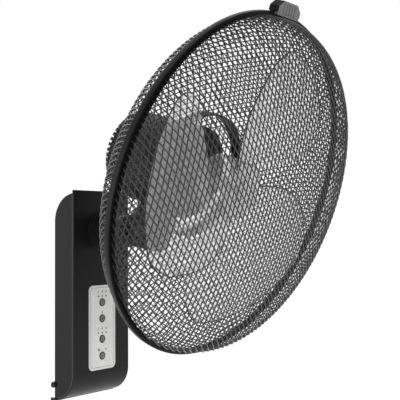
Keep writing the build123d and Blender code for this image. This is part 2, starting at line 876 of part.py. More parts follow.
def make_rear_housing():
    """Rear motor cover, tapered, with radial cooling slots round its end."""
    length = motor_joint - motor_rear
    low = (Align.CENTER, Align.CENTER, Align.MIN)
    body = Pos(0, 0, motor_rear) * Cone(motor_rear_radius, motor_joint_radius, length, align=low)
    body = fillet(body.edges().filter_by(GeomType.CIRCLE).sort_by(Axis.Z)[0], motor_rear_round)
    t = motor_wall
    hollow = Pos(0, 0, motor_rear + t) * Cone(motor_rear_radius - t, motor_joint_radius - t, length, align=low)
    hollow = fillet(hollow.edges().filter_by(GeomType.CIRCLE).sort_by(Axis.Z)[0], motor_rear_round - t)
    body -= hollow
    slot = block((vent_inner_radius, -vent_width / 2, motor_rear - 1),
                 (motor_joint_radius, vent_width / 2, motor_rear + vent_depth))
    body -= [Rot(0, 0, (i + 0.5) * 360 / vent_count) * slot for i in range(vent_count)]
    for x in (-rear_screw_side, rear_screw_side):
        body += rod(rear_screw_radius + 2.4, motor_rear + 1, bracket_front - bracket_sheet, x)
        body -= rod(rear_screw_radius + press_gap, motor_rear - 1, bracket_front, x)
    return body - case_opening()


def make_rear_bracket():
    """Square plate behind the stator that holds the rear bearing."""
    half = motor_bolt_side + 5
    body = block((-half, -half, bracket_front - bracket_sheet), (half, half, bracket_front))
    body = fillet(body.edges().filter_by(Axis.Z), 8)
    body += rod(bearing_radius + 3, bracket_front - bracket_sheet - 5, bracket_front)
    body -= rod(bearing_radius + press_gap, -through, 0)
    for i in range(4):
        window = rod(6, bracket_front - 20, bracket_front + 1, 22)
        body -= Rot(0, 0, 90 * i + 45) * window
    for x, y in motor_bolt_places():
        body -= rod(motor_bolt_radius + press_gap, -through, 0, x, y)
    for x in (-rear_screw_side, rear_screw_side):
        body -= rod(rear_screw_radius + press_gap, -through, 0, x)
    return body


def make_stator():
    half = stator_half
    body = block((-half, -half, stator_rear), (half, half, stator_front))
    body = fillet(body.edges().filter_by(Axis.Z), 3)
    body -= rod(stator_bore, -through, 0)
    for x, y in motor_bolt_places():
        body -= rod(motor_bolt_radius + press_gap, -through, 0, x, y)
    return body


def make_windings():
    body = []
    for low, high in ((stator_rear - winding_overhang, stator_rear), (stator_front, stator_front + winding_overhang)):
        ring = tube(winding_outer, winding_inner, low, high)
        for x, y in motor_bolt_places():
            ring -= rod(motor_bolt_radius + 3 + slip_gap, -through, 0, x, y)
        body.append(ring)
    return Compound(children=body)


def make_motor_bolts():
    body = []
    behind = bracket_front - bracket_sheet
    for x, y in motor_bolt_places():
        shank = rod(motor_bolt_radius, behind, motor_front - motor_wall, x, y)
        body.append(shank + rod(motor_bolt_head_radius, behind - motor_bolt_head, behind, x, y))
    return Compound(children=body)


def make_rear_screws():
    body = []
    for x in (-rear_screw_side, rear_screw_side):
        shank = rod(rear_screw_radius, motor_rear, bracket_front - 0.5, x)
        body.append(shank + rod(rear_screw_radius + 1.8, motor_rear - 2, motor_rear, x))
    return Compound(children=body)


def make_bearing(middle):
    half = bearing_length / 2
    return tube(bearing_radius, shaft_radius + run_gap, middle - half, middle + half)


front_bearing_middle = bearing_boss_front - 2 - bearing_length / 2
rear_bearing_middle = bracket_front - bearing_length / 2 + 1


def make_shaft():
    return rod(shaft_radius, shaft_rear, shaft_front) - along_x(drive_pin_radius + press_gap, -9, 9, 0, pin_z)


pin_z = hub_boss_rear + 2.0


# ================================================================ guard
def dome_section(arcs, start):
    """Section of a dished guard in (radius, height), from the top of its short straight wall: tangent
    arcs, then the crown, whose radius follows from where the last arc ends."""
    outer = []
    inner = []
    r, h, a = mesh_radius, start, 0.0
    crown_angle = math.radians(sum(turn for _, turn in arcs))
    turns = [(radius, math.radians(turn)) for radius, turn in arcs]
    for radius, turn in turns + [(None, math.pi / 2 - crown_angle)]:
        radius = radius or r / math.cos(a)
        centre = (r - radius * math.cos(a), h - radius * math.sin(a))
        for chain, size in ((outer, radius), (inner, radius - mesh_sheet)):
            chain.append([on_arc(centre, size, math.degrees(a + turn * k / 2)) for k in range(3)])
        r, h = outer[-1][2]
        a += turn
    return outer, inner


def dome(arcs, straight, base):
    """Thin dished shell, open at its base, bulging along +z."""
    outer, inner = dome_section(arcs, base + straight)
    foot_in, foot_out = (mesh_radius - mesh_sheet, base), (mesh_radius, base)
    runs = [(foot_in, foot_out), (foot_out, outer[0][0])] + outer
    runs += [(outer[-1][2], inner[-1][2])] + [run[::-1] for run in inner[::-1]] + [(inner[0][0], foot_in)]
    edges = []
    for run in runs:
        ends = [Vector(p[0], 0, p[1]) for p in run]
        edges.append(Line(*ends) if len(run) == 2 else ThreePointArc(*ends))
    return revolve(make_face(edges), Axis.Z)


def wire_net(inner_radius):
    """Flat net of two families of crossing wires, cut to a disc, or to a ring past inner_radius."""
    first, second = (Vector(math.cos(math.radians(a)), math.sin(math.radians(a))) for a in mesh_angles)
    side = mesh_pitch / math.sin(math.radians(mesh_angles[0] - mesh_angles[1]))
    half = side * (mesh_pitch - mesh_wire) / mesh_pitch / 2
    reach = int(mesh_radius / mesh_pitch) * 2 + 2
    outer_edge = mesh_radius - 1
    whole = []
    cut = []
    for i in range(-reach, reach):
        for j in range(-reach, reach):
            middle = first * (side * (i + 0.5)) + second * (side * (j + 0.5))
            corners = [middle + first * (half * a) + second * (half * b)
                       for a, b in ((1, 1), (1, -1), (-1, -1), (-1, 1))]
            far = [corner.length for corner in corners]
            if min(far) > outer_edge - 1.5:
                continue
            gap = make_face(Polyline(*corners, close=True))
            edge_gap = max(far) > outer_edge - 0.5 or min(far) < inner_radius + 12
            (cut if edge_gap else whole).append(gap)
    disc = Face.make_holes(Circle(outer_edge).face(), [gap.face().outer_wire() for gap in whole])
    return Sketch() + disc - cut


def domed_grille(arcs, straight, base, inner_radius):
    bars = extrude(wire_net(inner_radius), mesh_radius)
    return (Pos(0, 0, base) * bars) & dome(arcs, straight, base)


def make_front_grille():
    base = -(ring_lip + rim_sheet)
    net = domed_grille(front_arcs, front_wall_height, base, 0.0)
    return net + tube(rim_radius, mesh_radius - mesh_sheet, base - slip_gap / 6, base + rim_sheet - slip_gap / 6)


def make_rear_grille():
    """Drawn bulging along +z, then turned to face the wall."""
    base = rear_base
    net = domed_grille(rear_arcs, rear_wall_height, base, grille_plate_radius)
    plate_back = -motor_front
    net_back = rear_depth(grille_plate_radius)
    net -= rod(grille_plate_radius - 2, 0, through)
    net += tube(rim_radius, mesh_radius - mesh_sheet, base - slip_gap / 6, base + rim_sheet - slip_gap / 6)
    collar_front = min(plate_back - grille_collar, net_back - 2 * mesh_sheet)
    net += tube(grille_plate_radius, grille_plate_radius - 4, collar_front, max(plate_back, net_back))
    net += rod(grille_plate_radius - 1, plate_back - grille_plate_sheet, plate_back)
    net -= rod(bearing_boss_radius + press_gap, 0, through)
    hoop_back = rear_depth(hoop_radius) + hoop_behind
    net += tube(hoop_radius, hoop_radius - hoop_sheet, hoop_back - hoop_depth, hoop_back)
    return mirror(net, Plane.XY)


rear_base = ring_depth - ring_lip - rim_sheet


def rear_depth(radius):
    """How far the rear wires lie behind the ring's front face, near the middle."""
    outer, _ = dome_section(rear_arcs, rear_base + rear_wall_height)
    start = outer[-1][0]
    angle = math.radians(90 - sum(turn for _, turn in rear_arcs))
    crown = start[0] / math.sin(angle)
    return start[1] - crown * math.cos(angle) + math.sqrt(crown ** 2 - radius ** 2)


def make_ring():
    """Split channel ring that grips both guard rims, with two ears for the clip's pin."""
    body = tube(ring_radius, ring_inner, -ring_depth, 0)
    outer_edges = body.edges().filter_by(GeomType.CIRCLE).sort_by(SortBy.RADIUS)[-2:]
    body = fillet(outer_edges, 1.0)
    body -= tube(ring_radius - ring_wall, ring_inner - 5, -ring_depth + ring_lip, -ring_lip)
    near = clip_knuckle_half + slip_gap
    for side in (-1, 1):
        low = near if side > 0 else -near - clip_ear
        foot = ring_radius - ring_wall
        body += block((low, foot, clip_pin_behind), (low + clip_ear, ring_radius - 0.5, ring_lip - ring_depth))
        body += block((low, foot, clip_pin_behind), (low + clip_ear, clip_pin_up, clip_rear - slip_gap))
        body += along_x(clip_knuckle_radius, low, low + clip_ear, clip_pin_up, clip_pin_behind)
    body -= along_x(clip_pin_radius + press_gap, -through, through, clip_pin_up, clip_pin_behind)
    return body - block((-ring_split / 2, ring_inner - 5, -ring_depth - 2), (ring_split / 2, ring_radius + 1, 9))


def make_clip():
    """Latch over the ring's split, hinged behind the ring, with grip grooves in its face."""
    w, t = clip_half_width, clip_top_half
    outline = Polyline((-w, clip_bottom), (w, clip_bottom), (w, clip_shoulder), (t, clip_top), (-t, clip_top),
                       (-w, clip_shoulder), close=True)
    body = Pos(0, 0, clip_rear) * extrude(make_face(outline), clip_front - clip_rear)
    body = fillet(body.edges().filter_by_position(Axis.Z, clip_front - 0.01, clip_front + 0.01), 0.8)
    body -= rod(ring_radius + slip_gap, -through, slip_gap)
    for i in (-1, 0, 1):
        x = i * clip_groove_pitch
        body -= block((x - clip_groove / 2, clip_bottom + 3, clip_front - 0.8),
                      (x + clip_groove / 2, clip_top - 2.5, clip_front + 1))
    k = clip_knuckle_half
    body += block((-k, clip_pin_up - 2, clip_pin_behind), (k, clip_pin_up + 3, clip_rear + 1))
    body += along_x(clip_knuckle_radius, -k, k, clip_pin_up, clip_pin_behind)
    body -= along_x(clip_pin_radius + run_gap, -k - 1, k + 1, clip_pin_up, clip_pin_behind)
    return body


def make_clip_pin():
    reach = clip_knuckle_half + slip_gap + clip_ear
    return along_x(clip_pin_radius, -reach, reach, clip_pin_up, clip_pin_behind)


def make_grille_nut():
    low = motor_front + grille_plate_sheet
    body = tube(grille_nut_radius - 4, bearing_boss_radius + press_gap, low, low + grille_nut_height)
    body += tube(grille_nut_radius, bearing_boss_radius + press_gap, low, low + 2.5)
    lug = block((grille_nut_radius - 6, -3, low), (grille_nut_radius, 3, low + grille_nut_height))
    body += [Rot(0, 0, 360 * i / grille_nut_lugs) * lug for i in range(grille_nut_lugs)]
    return body


# ================================================================ rotor
def share(radius):
    return (radius - hub_radius) / (tip_radius - hub_radius)


def blade_height(radius, degrees):
    """Height of the blade's rear surface at a radius and at an angle past its leading edge."""
    k = share(radius)
    lead = lead_root_depth + (lead_tip_depth - lead_root_depth) * k
    trail = trail_root_depth + (trail_tip_depth - trail_root_depth) * k + 4 * trail_crown * max(k, 0) * (1 - k)
    span = blade_root_span - (blade_root_span - blade_tip_span) * max(k, 0) ** 1.4
    return lead + (trail - lead) * degrees / span


def polar(radius, degrees):
    return on_arc((0, 0), radius, degrees)


def make_blade():
    """One wide blade: a twisted sheet cut to the blade's outline."""
    steps = 8
    rows = []
    for i in range(steps + 1):
        radius = hub_radius - 3 + (tip_radius + 9 - hub_radius) * i / steps
        past = [-8 + (blade_root_span + 16) * j / steps for j in range(steps + 1)]
        rows.append([Vector(*polar(radius, blade_lead + a), blade_height(radius, a)) for a in past])
    sheet = Solid.thicken(Face.make_surface_from_array_of_points(rows), blade_sheet)
    root = hub_radius - hub_wall / 2
    lead, span = blade_lead, blade_root_span
    shoulder = polar(tip_radius * 0.86, lead + 2)
    tip_start = polar(tip_radius, lead + 10)
    tip_end = polar(tip_radius, lead + blade_tip_span - 6)
    trail = [tip_end, polar(tip_radius * 0.95, lead + blade_tip_span + 5), polar(tip_radius * 0.8, lead + 85),
             polar(tip_radius * 0.55, lead + 102), polar(root, lead + span)]
    outline = make_face([
        Line(polar(root, lead), shoulder),
        RadiusArc(shoulder, tip_start, -24),
        ThreePointArc(tip_start, polar(tip_radius, lead + blade_tip_span / 2), tip_end),
        Spline(*trail),
        Line(polar(root, lead + span), (0, 0)),
        Line((0, 0), polar(root, lead)),
    ])
    cutter = extrude(outline, tip_radius, both=True) - rod(root, -through, through)
    return cutter.intersect(sheet)


def make_blades():
    body = rod(hub_radius, hub_rear, hub_front)
    body = fillet(body.edges().filter_by(GeomType.CIRCLE).sort_by(Axis.Z)[-1], 1.5)
    body -= rod(hub_radius - hub_wall, hub_rear - 1, hub_front - hub_wall)
    body += rod(hub_boss_radius, hub_boss_rear, hub_front)
    body -= rod(shaft_radius + press_gap, hub_boss_rear - 1, 20)
    body -= rod(spinner_spigot + slip_gap, 0, 20)
    body -= block((-drive_pin_half - 1, -drive_pin_radius - 0.1, hub_boss_rear - 1),
                  (drive_pin_half + 1, drive_pin_radius + 0.1, pin_z + drive_pin_radius + 0.1))
    blade = make_blade()
    for i in range(blade_count):
        body += [Rot(0, 0, 360 * i / blade_count) * piece for piece in blade]
    return body


def make_rotor_core():
    return tube(rotor_radius, shaft_radius + press_gap, stator_rear, stator_front)


def make_drive_pin():
    return along_x(drive_pin_radius, -drive_pin_half, drive_pin_half, 0, pin_z)


def make_spinner_nut():
    body = rod(spinner_radius, hub_front, hub_front + spinner_height)
    body = fillet(body.edges().filter_by(GeomType.CIRCLE).sort_by(Axis.Z)[-1], 3.0)
    body += rod(spinner_spigot, slip_gap, hub_front)
    return body - rod(shaft_radius + press_gap, -5, shaft_front + slip_gap)


# ================================================================ all the pieces
save("wall_plate", make_wall_plate())
save("rear_shell", make_rear_shell())
save("front_cover", make_front_cover())
save("cover_screws", make_cover_screws())
save("control_panel", make_control_panel())
for button, height in button_ups.items():
    save(f"{button}_button", make_button(height))
save("button_switches", make_switches())
save("panel_windows", make_windows())
save("indicator_lamps", make_lamp_chips())
save("control_board", make_control_board())
save("control_board_screws", make_board_screws())
save("power_board", make_power_board())
save("power_transformer", on_power_board(transformer_size, -20, power_board_up + 25))
save("run_capacitor", on_power_board(capacitor_size, -18, power_board_up - 12))
save("speed_relays", make_relays())
save("terminal_block", make_terminals())
save("cable_gland", make_gland())
save("gland_nut", make_gland_nut())
save("neck_bracket", make_neck_bracket())
save("neck_tube", make_neck_tube())
save("neck_bolts", make_neck_bolts())
save("neck_collar", make_collar())

save_head("tilt_knuckle", make_knuckle())
save_head("tilt_bolt", make_tilt_bolt())
save_head("tilt_nut", make_tilt_nut())
save_head("tilt_washers", make_tilt_washers())
save_head("pan_post", make_pan_post())
save_head("post_nut", make_post_nut())
save_head("swing_sector", make_sector())

save_head("pan_bush", make_pan_bush())
save_head("gear_case", make_gear_case())
save_head("swing_motor", make_swing_motor())
save_head("swing_motor_screws", make_swing_motor_screws())
save_head("swing_pinion", make_pinion())
save_head("motor_front_shell", make_front_shell())
save_head("motor_rear_housing", make_rear_housing())
save_head("motor_rear_bracket", make_rear_bracket())
save_head("stator_core", make_stator())
save_head("stator_windings", make_windings())
save_head("motor_bolts", make_motor_bolts())
save_head("housing_screws", make_rear_screws())
save_head("front_bearing", make_bearing(front_bearing_middle))
save_head("rear_bearing", make_bearing(rear_bearing_middle))
save_head("rear_grille", make_rear_grille())
save_head("front_grille", make_front_grille())
save_head("guard_ring", make_ring())
save_head("grille_nut", make_grille_nut())
save_head("ring_clip", make_clip())
save_head("clip_pin", make_clip_pin())

save_head("motor_shaft", make_shaft())
save_head("rotor_core", make_rotor_core())
save_head("fan_blades", make_blades())
save_head("drive_pin", make_drive_pin())
save_head("spinner_nut", make_spinner_nut())
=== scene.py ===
import math

import bmesh
import bpy
from bpy.props import FloatProperty, FloatVectorProperty, IntProperty, PointerProperty
from mathutils import Matrix, Vector


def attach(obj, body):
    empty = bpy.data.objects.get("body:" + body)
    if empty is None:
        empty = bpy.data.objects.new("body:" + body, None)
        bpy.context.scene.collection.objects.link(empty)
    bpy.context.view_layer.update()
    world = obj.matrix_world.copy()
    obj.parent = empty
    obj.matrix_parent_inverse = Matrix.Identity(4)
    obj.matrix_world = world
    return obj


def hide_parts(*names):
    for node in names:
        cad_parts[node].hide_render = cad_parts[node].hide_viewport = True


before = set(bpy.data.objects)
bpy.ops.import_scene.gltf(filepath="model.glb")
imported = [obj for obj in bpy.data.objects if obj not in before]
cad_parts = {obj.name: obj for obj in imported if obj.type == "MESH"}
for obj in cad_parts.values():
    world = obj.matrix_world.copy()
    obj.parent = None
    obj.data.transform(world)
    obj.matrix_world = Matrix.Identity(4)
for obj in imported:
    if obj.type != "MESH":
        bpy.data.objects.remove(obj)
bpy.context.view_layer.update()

bl_info = {
    "name": "Wall fan looks",
    "version": (1, 0, 0),
    "blender": (4, 5, 0),
    "location": "View3D > Sidebar > Wall fan",
    "description": "Dresses the packed wall fan: guard, frosted blades, ring, panel and finishes",
    "category": "Object",
}

# Lengths are in metres. The wall is y = 0, the room is at -y and z is up.
WORLD = Matrix.Identity(4)
# The head's own frame: x right, y up, z along the fan's axis towards the room, from the middle of
# the guard ring's front face. The tilt pivot and the head's reach are the model's.
PIVOT = Vector((0, -0.131, 0.084))
HEAD_FORWARD = 0.118
HEAD_UP = 0.092
TILT = math.radians(18.5)
HEAD = (Matrix.Translation(PIVOT) @ Matrix.Rotation(TILT, 4, "X")
        @ Matrix.Translation((0, -HEAD_FORWARD, HEAD_UP)) @ Matrix.Rotation(math.pi / 2, 4, "X"))
FORWARD = (HEAD.to_3x3() @ Vector((0, 0, 1))).normalized()
# For outlines seen from the head's side: their first number is the head's z.
HEAD_SIDE = HEAD @ Matrix(((0, 0, 1, 0), (0, 1, 0, 0), (1, 0, 0, 0), (0, 0, 0, 1)))

RING_BORE = 0.2104
CLIP_PIN = (-0.0114, 0.2185)
CLIP_KNUCKLE = 0.003
HUB_RADIUS = 0.035
BLADE_TIP = 0.175
PANEL_FACE = -0.0415
PANEL_MIDDLE = -0.048
KEY_FACE = -0.0423
KEY_HEIGHTS = {"power": -0.014, "speed": -0.036, "timer": -0.064, "swing": -0.087}


# ------------------------------------------------------------------ settings
class FanGuardSettings(bpy.types.PropertyGroup):
    """Sizes of the wire guard and its ring."""
    wire_diameter: FloatProperty(
        name="Wire diameter", description="Thickness of a guard wire",
        default=0.0015, min=0.0005, unit="LENGTH")
    front_angles: FloatVectorProperty(
        name="Front directions", description="Directions of the front's two layers",
        size=2, default=(math.radians(-39.9), math.radians(-89.4)), subtype="EULER")
    rear_angles: FloatVectorProperty(
        name="Rear directions", description="Directions of the rear's two layers",
        size=2, default=(math.radians(-29.2), math.radians(17.9)), subtype="EULER")
    front_pitches: FloatVectorProperty(
        name="Front pitches", description="Between neighbouring front wires",
        size=2, default=(0.00684, 0.00678), unit="LENGTH")
    rear_pitches: FloatVectorProperty(
        name="Rear pitches", description="Between neighbouring rear wires",
        size=2, default=(0.00668, 0.00663), unit="LENGTH")
    front_shifts: FloatVectorProperty(
        name="Front shifts", description="Sideways shift of the front's layers",
        size=2, default=(0.00088, 0.00384), unit="LENGTH")
    rear_shifts: FloatVectorProperty(
        name="Rear shifts", description="Sideways shift of the rear's layers",
        size=2, default=(0.00228, 0.0047), unit="LENGTH")
    mesh_radius: FloatProperty(
        name="Guard radius", description="Where the wires meet the ring",
        default=0.2092, unit="LENGTH")
    ring_radius: FloatProperty(
        name="Ring radius", description="Outside of the ring", default=0.215, unit="LENGTH")
    ring_depth: FloatProperty(
        name="Ring depth", description="Front to back", default=0.007, unit="LENGTH")
    hoop_radius: FloatProperty(
        name="Hoop radius", description="Stiffening hoop of the rear guard",
        default=0.080, unit="LENGTH")


class FanBladeSettings(bpy.types.PropertyGroup):
    """Sizes of the blades."""
    count: IntProperty(name="Blades", description="Number of blades", default=3, min=2, max=6)
    tip_radius: FloatProperty(
        name="Tip radius", description="Sweep of the blade tips", default=BLADE_TIP, unit="LENGTH")
    root_radius: FloatProperty(
        name="Hub radius", description="Radius of the hub", default=HUB_RADIUS, unit="LENGTH")
    thickness: FloatProperty(
        name="Thickness", description="Sheet of the blades", default=0.0018, unit="LENGTH")


def colour(name, description, value):
    return FloatVectorProperty(name=name, description=description, subtype="COLOR", size=3,
                               min=0, max=1, default=value)


class FanFinishSettings(bpy.types.PropertyGroup):
    """Colours of the fan's finishes."""
    casing: colour("Casing", "Dark moulded casings", (0.009, 0.009, 0.0095))
    ring: colour("Ring", "Ring round the guard", (0.007, 0.007, 0.007))
    wire: colour("Wire", "Powder coat of the guard wires", (0.011, 0.011, 0.011))
    blade: colour("Blade", "Frosted translucent plastic", (0.97, 0.97, 0.97))
    panel: colour("Panel", "Silver control panel", (0.72, 0.72, 0.70))
    key: colour("Key", "Middle of the buttons", (0.22, 0.22, 0.22))
    ink: colour("Ink", "Print on the panel", (0.08, 0.08, 0.08))


class FanStageSettings(bpy.types.PropertyGroup):
    """Camera and floor."""
    lens: FloatProperty(
        name="Lens", description="Focal length on a 36 mm frame", default=76.123, unit="CAMERA")
    camera_place: FloatVectorProperty(
        name="Camera", description="Place of the camera", subtype="XYZ", size=3,
        default=(-0.83903, -0.86547, 0.08572), unit="LENGTH")
    azimuth: FloatProperty(
        name="Azimuth", description="Turn of the view from straight ahead",
        default=math.radians(52.12), subtype="ANGLE")
    pitch: FloatProperty(
        name="Pitch", description="Tilt of the view above level",
        default=math.radians(1.98), subtype="ANGLE")
    roll: FloatProperty(
        name="Roll", description="Roll of the picture",
        default=math.radians(-0.29), subtype="ANGLE")
    floor: FloatProperty(
        name="Floor", description="Height of the floor", default=-0.75, unit="LENGTH")


class WallFanSettings(bpy.types.PropertyGroup):
    """All the fan's settings."""
    guard: PointerProperty(
        type=FanGuardSettings, name="Guard", description="Wire guard and ring")
    blades: PointerProperty(
        type=FanBladeSettings, name="Blades", description="Blades and hub")
    finish: PointerProperty(
        type=FanFinishSettings, name="Finish", description="Colours")
    stage: PointerProperty(
        type=FanStageSettings, name="Stage", description="Camera and floor")


def settings():
    return bpy.context.scene.wall_fan


# ------------------------------------------------------------------ node groups
def feed(tree, socket, value):
    """Links a socket to another node's output, or sets it to a plain value."""
    if isinstance(value, bpy.types.NodeSocket):
        tree.links.new(value, socket)
    else:
        socket.default_value = value


def maths(tree, operation, a, b):
    node = tree.nodes.new("ShaderNodeMath")
    node.operation = operation
    feed(tree, node.inputs[0], a)
    feed(tree, node.inputs[1], b)
    return node.outputs[0]


def noise(tree, vector, scale, detail=3.0):
    node = tree.nodes.new("ShaderNodeTexNoise")
    node.inputs["Detail"].default_value = detail
    feed(tree, node.inputs["Scale"], scale)
    feed(tree, node.inputs["Vector"], vector)
    return node.outputs["Fac"]


def object_place(tree):
    return tree.nodes.new("ShaderNodeTexCoord").outputs["Object"]


def new_group(name, inputs, outputs):
    group = bpy.data.node_groups.new(name, "ShaderNodeTree")
    for label, value in inputs:
        socket = group.interface.new_socket(label, in_out="INPUT", socket_type="NodeSocketFloat")
        socket.default_value = value
    for label in outputs:
        group.interface.new_socket(label, in_out="OUTPUT", socket_type="NodeSocketFloat")
    return group, group.nodes.new("NodeGroupInput"), group.nodes.new("NodeGroupOutput")


def moulded_grain():
    """Fine spark-eroded grain of moulded plastic, with slow changes of gloss."""
    group, given, out = new_group(
        "moulded_grain", (("Grain scale", 1800.0), ("Gloss change", 0.08)),
        ("Height", "Shade", "Gloss"))
    place = object_place(group)
    fine = noise(group, place, given.outputs["Grain scale"], 2.0)
    cells = group.nodes.new("ShaderNodeTexVoronoi")
    feed(group, cells.inputs["Vector"], place)
    feed(group, cells.inputs["Scale"], given.outputs["Grain scale"])
    height = maths(group, "MULTIPLY", fine, cells.outputs["Distance"])
    feed(group, out.inputs["Height"], height)
    slow = maths(group, "SUBTRACT", noise(group, place, 22.0, 4.0), 0.5)
    gloss = maths(group, "MULTIPLY", slow, given.outputs["Gloss change"])
    feed(group, out.inputs["Gloss"], gloss)
    shade = maths(group, "ADD", maths(group, "MULTIPLY", noise(group, place, 60.0), 0.25), 0.875)
    feed(group, out.inputs["Shade"], shade)
    return group


def drawn_metal():
    """Fine lines along the length of rolled or drawn metal."""
    group, given, out = new_group(
        "drawn_metal", (("Line scale", 900.0), ("Gloss change", 0.15)),
        ("Height", "Shade", "Gloss"))
    stretch = group.nodes.new("ShaderNodeMapping")
    stretch.inputs["Scale"].default_value = (1.0, 1.0, 0.04)
    feed(group, stretch.inputs["Vector"], object_place(group))
    lines = noise(group, stretch.outputs["Vector"], given.outputs["Line scale"], 2.0)
    feed(group, out.inputs["Height"], lines)
    shade = maths(group, "ADD", maths(group, "MULTIPLY", lines, 0.4), 0.8)
    feed(group, out.inputs["Shade"], shade)
    change = maths(group, "SUBTRACT", lines, 0.5)
    gloss = maths(group, "MULTIPLY", change, given.outputs["Gloss change"])
    feed(group, out.inputs["Gloss"], gloss)
    return group


def settled_dust():
    """Dust that settles on faces that look up, in soft patches."""
    group, given, out = new_group("settled_dust", (("Amount", 0.1),), ("Mask",))
    geometry = group.nodes.new("ShaderNodeNewGeometry")
    split = group.nodes.new("ShaderNodeSeparateXYZ")
    feed(group, split.inputs[0], geometry.outputs["Normal"])
    up = maths(group, "POWER", maths(group, "MAXIMUM", split.outputs["Z"], 0.0), 2.0)
    patch = maths(group, "MULTIPLY", up, noise(group, object_place(group), 90.0, 5.0))
    feed(group, out.inputs["Mask"], maths(group, "MULTIPLY", patch, given.outputs["Amount"]))
    return group


def painted_edge_highlight():
    """Painted highlight along edges, from how far a rounded normal turns away from the face's own.
    """
    group, given, out = new_group("painted_edge_highlight", (("Width", 0.0012), ("Amount", 1.0)), ("Mask",))
    bevel = group.nodes.new("ShaderNodeBevel")
    bevel.samples = 4
    feed(group, bevel.inputs["Radius"], given.outputs["Width"])
    geometry = group.nodes.new("ShaderNodeNewGeometry")
    likeness = group.nodes.new("ShaderNodeVectorMath")
    likeness.operation = "DOT_PRODUCT"
    feed(group, likeness.inputs[0], bevel.outputs["Normal"])
    feed(group, likeness.inputs[1], geometry.outputs["Normal"])
    turn = maths(group, "SUBTRACT", 1.0, likeness.outputs["Value"])
    steep = maths(group, "MULTIPLY", maths(group, "MAXIMUM", turn, 0.0), 4.0)
    line = maths(group, "MINIMUM", steep, 1.0)
    feed(group, out.inputs["Mask"], maths(group, "MULTIPLY", line, given.outputs["Amount"]))
    return group


groups = {}


def place_group(tree, maker, **values):
    """A node of the group that a maker builds. The group itself is built once."""
    if maker.__name__ not in groups:
        groups[maker.__name__] = maker()
    node = tree.nodes.new("ShaderNodeGroup")
    node.node_tree = groups[maker.__name__]
    for label, value in values.items():
        node.inputs[label.replace("_", " ")].default_value = value
    return node


# ------------------------------------------------------------------ finishes
DUST_COLOUR = (0.30, 0.29, 0.27, 1)
# Colour of the painted highlight along the casing's edges.
EDGE_HIGHLIGHT_COLOUR = (0.16, 0.16, 0.16, 1)

finishes = {}


def mix_colours(tree, share, under, over, blend="MIX"):
    """Colour between two others. A mix node's sockets 6, 7 and 2 are those for colours."""
    node = tree.nodes.new("ShaderNodeMix")
    node.data_type = "RGBA"
    node.blend_type = blend
    feed(tree, node.inputs[0], share)
    feed(tree, node.inputs[6], under)
    feed(tree, node.inputs[7], over)
    return node.outputs[2]


def make_finish(name, base, rough, surface=moulded_grain, scale=1800.0, depth=0.00002, dust=0.0,
                change=0.08, metallic=0.0, coat=0.0, transmission=0.0, ior=1.5, specular=0.5,
                edge_highlight_amount=0.0):
    """A material whose colour, gloss and relief come from the shared effects."""
    material = bpy.data.materials.new(name)
    material.use_nodes = True
    tree = material.node_tree
    shader = tree.nodes["Principled BSDF"]
    for label, value in (("Metallic", metallic), ("Coat Weight", coat), ("Coat Roughness", 0.12),
                         ("Transmission Weight", transmission), ("IOR", ior),
                         ("Specular IOR Level", specular)):
        shader.inputs[label].default_value = value
    label = "Grain_scale" if surface is moulded_grain else "Line_scale"
    effect = place_group(tree, surface, **{label: scale, "Gloss_change": change})
    tone = mix_colours(tree, 1.0, (*base, 1), effect.outputs["Shade"], "MULTIPLY")
    if dust:
        film = place_group(tree, settled_dust, Amount=dust)
        tone = mix_colours(tree, film.outputs["Mask"], tone, DUST_COLOUR)
    # A lighter line along edges: a painted highlight on the rounded edges.
    if edge_highlight_amount:
        edge_highlight = place_group(tree, painted_edge_highlight, Amount=edge_highlight_amount)
        tone = mix_colours(tree, edge_highlight.outputs["Mask"], tone, EDGE_HIGHLIGHT_COLOUR)
    feed(tree, shader.inputs["Base Color"], tone)
    feed(tree, shader.inputs["Roughness"], maths(tree, "ADD", effect.outputs["Gloss"], rough))
    bump = tree.nodes.new("ShaderNodeBump")
    bump.inputs["Distance"].default_value = depth
    bump.inputs["Strength"].default_value = 1.0
    feed(tree, bump.inputs["Height"], effect.outputs["Height"])
    feed(tree, shader.inputs["Normal"], bump.outputs["Normal"])
    finishes[name] = material


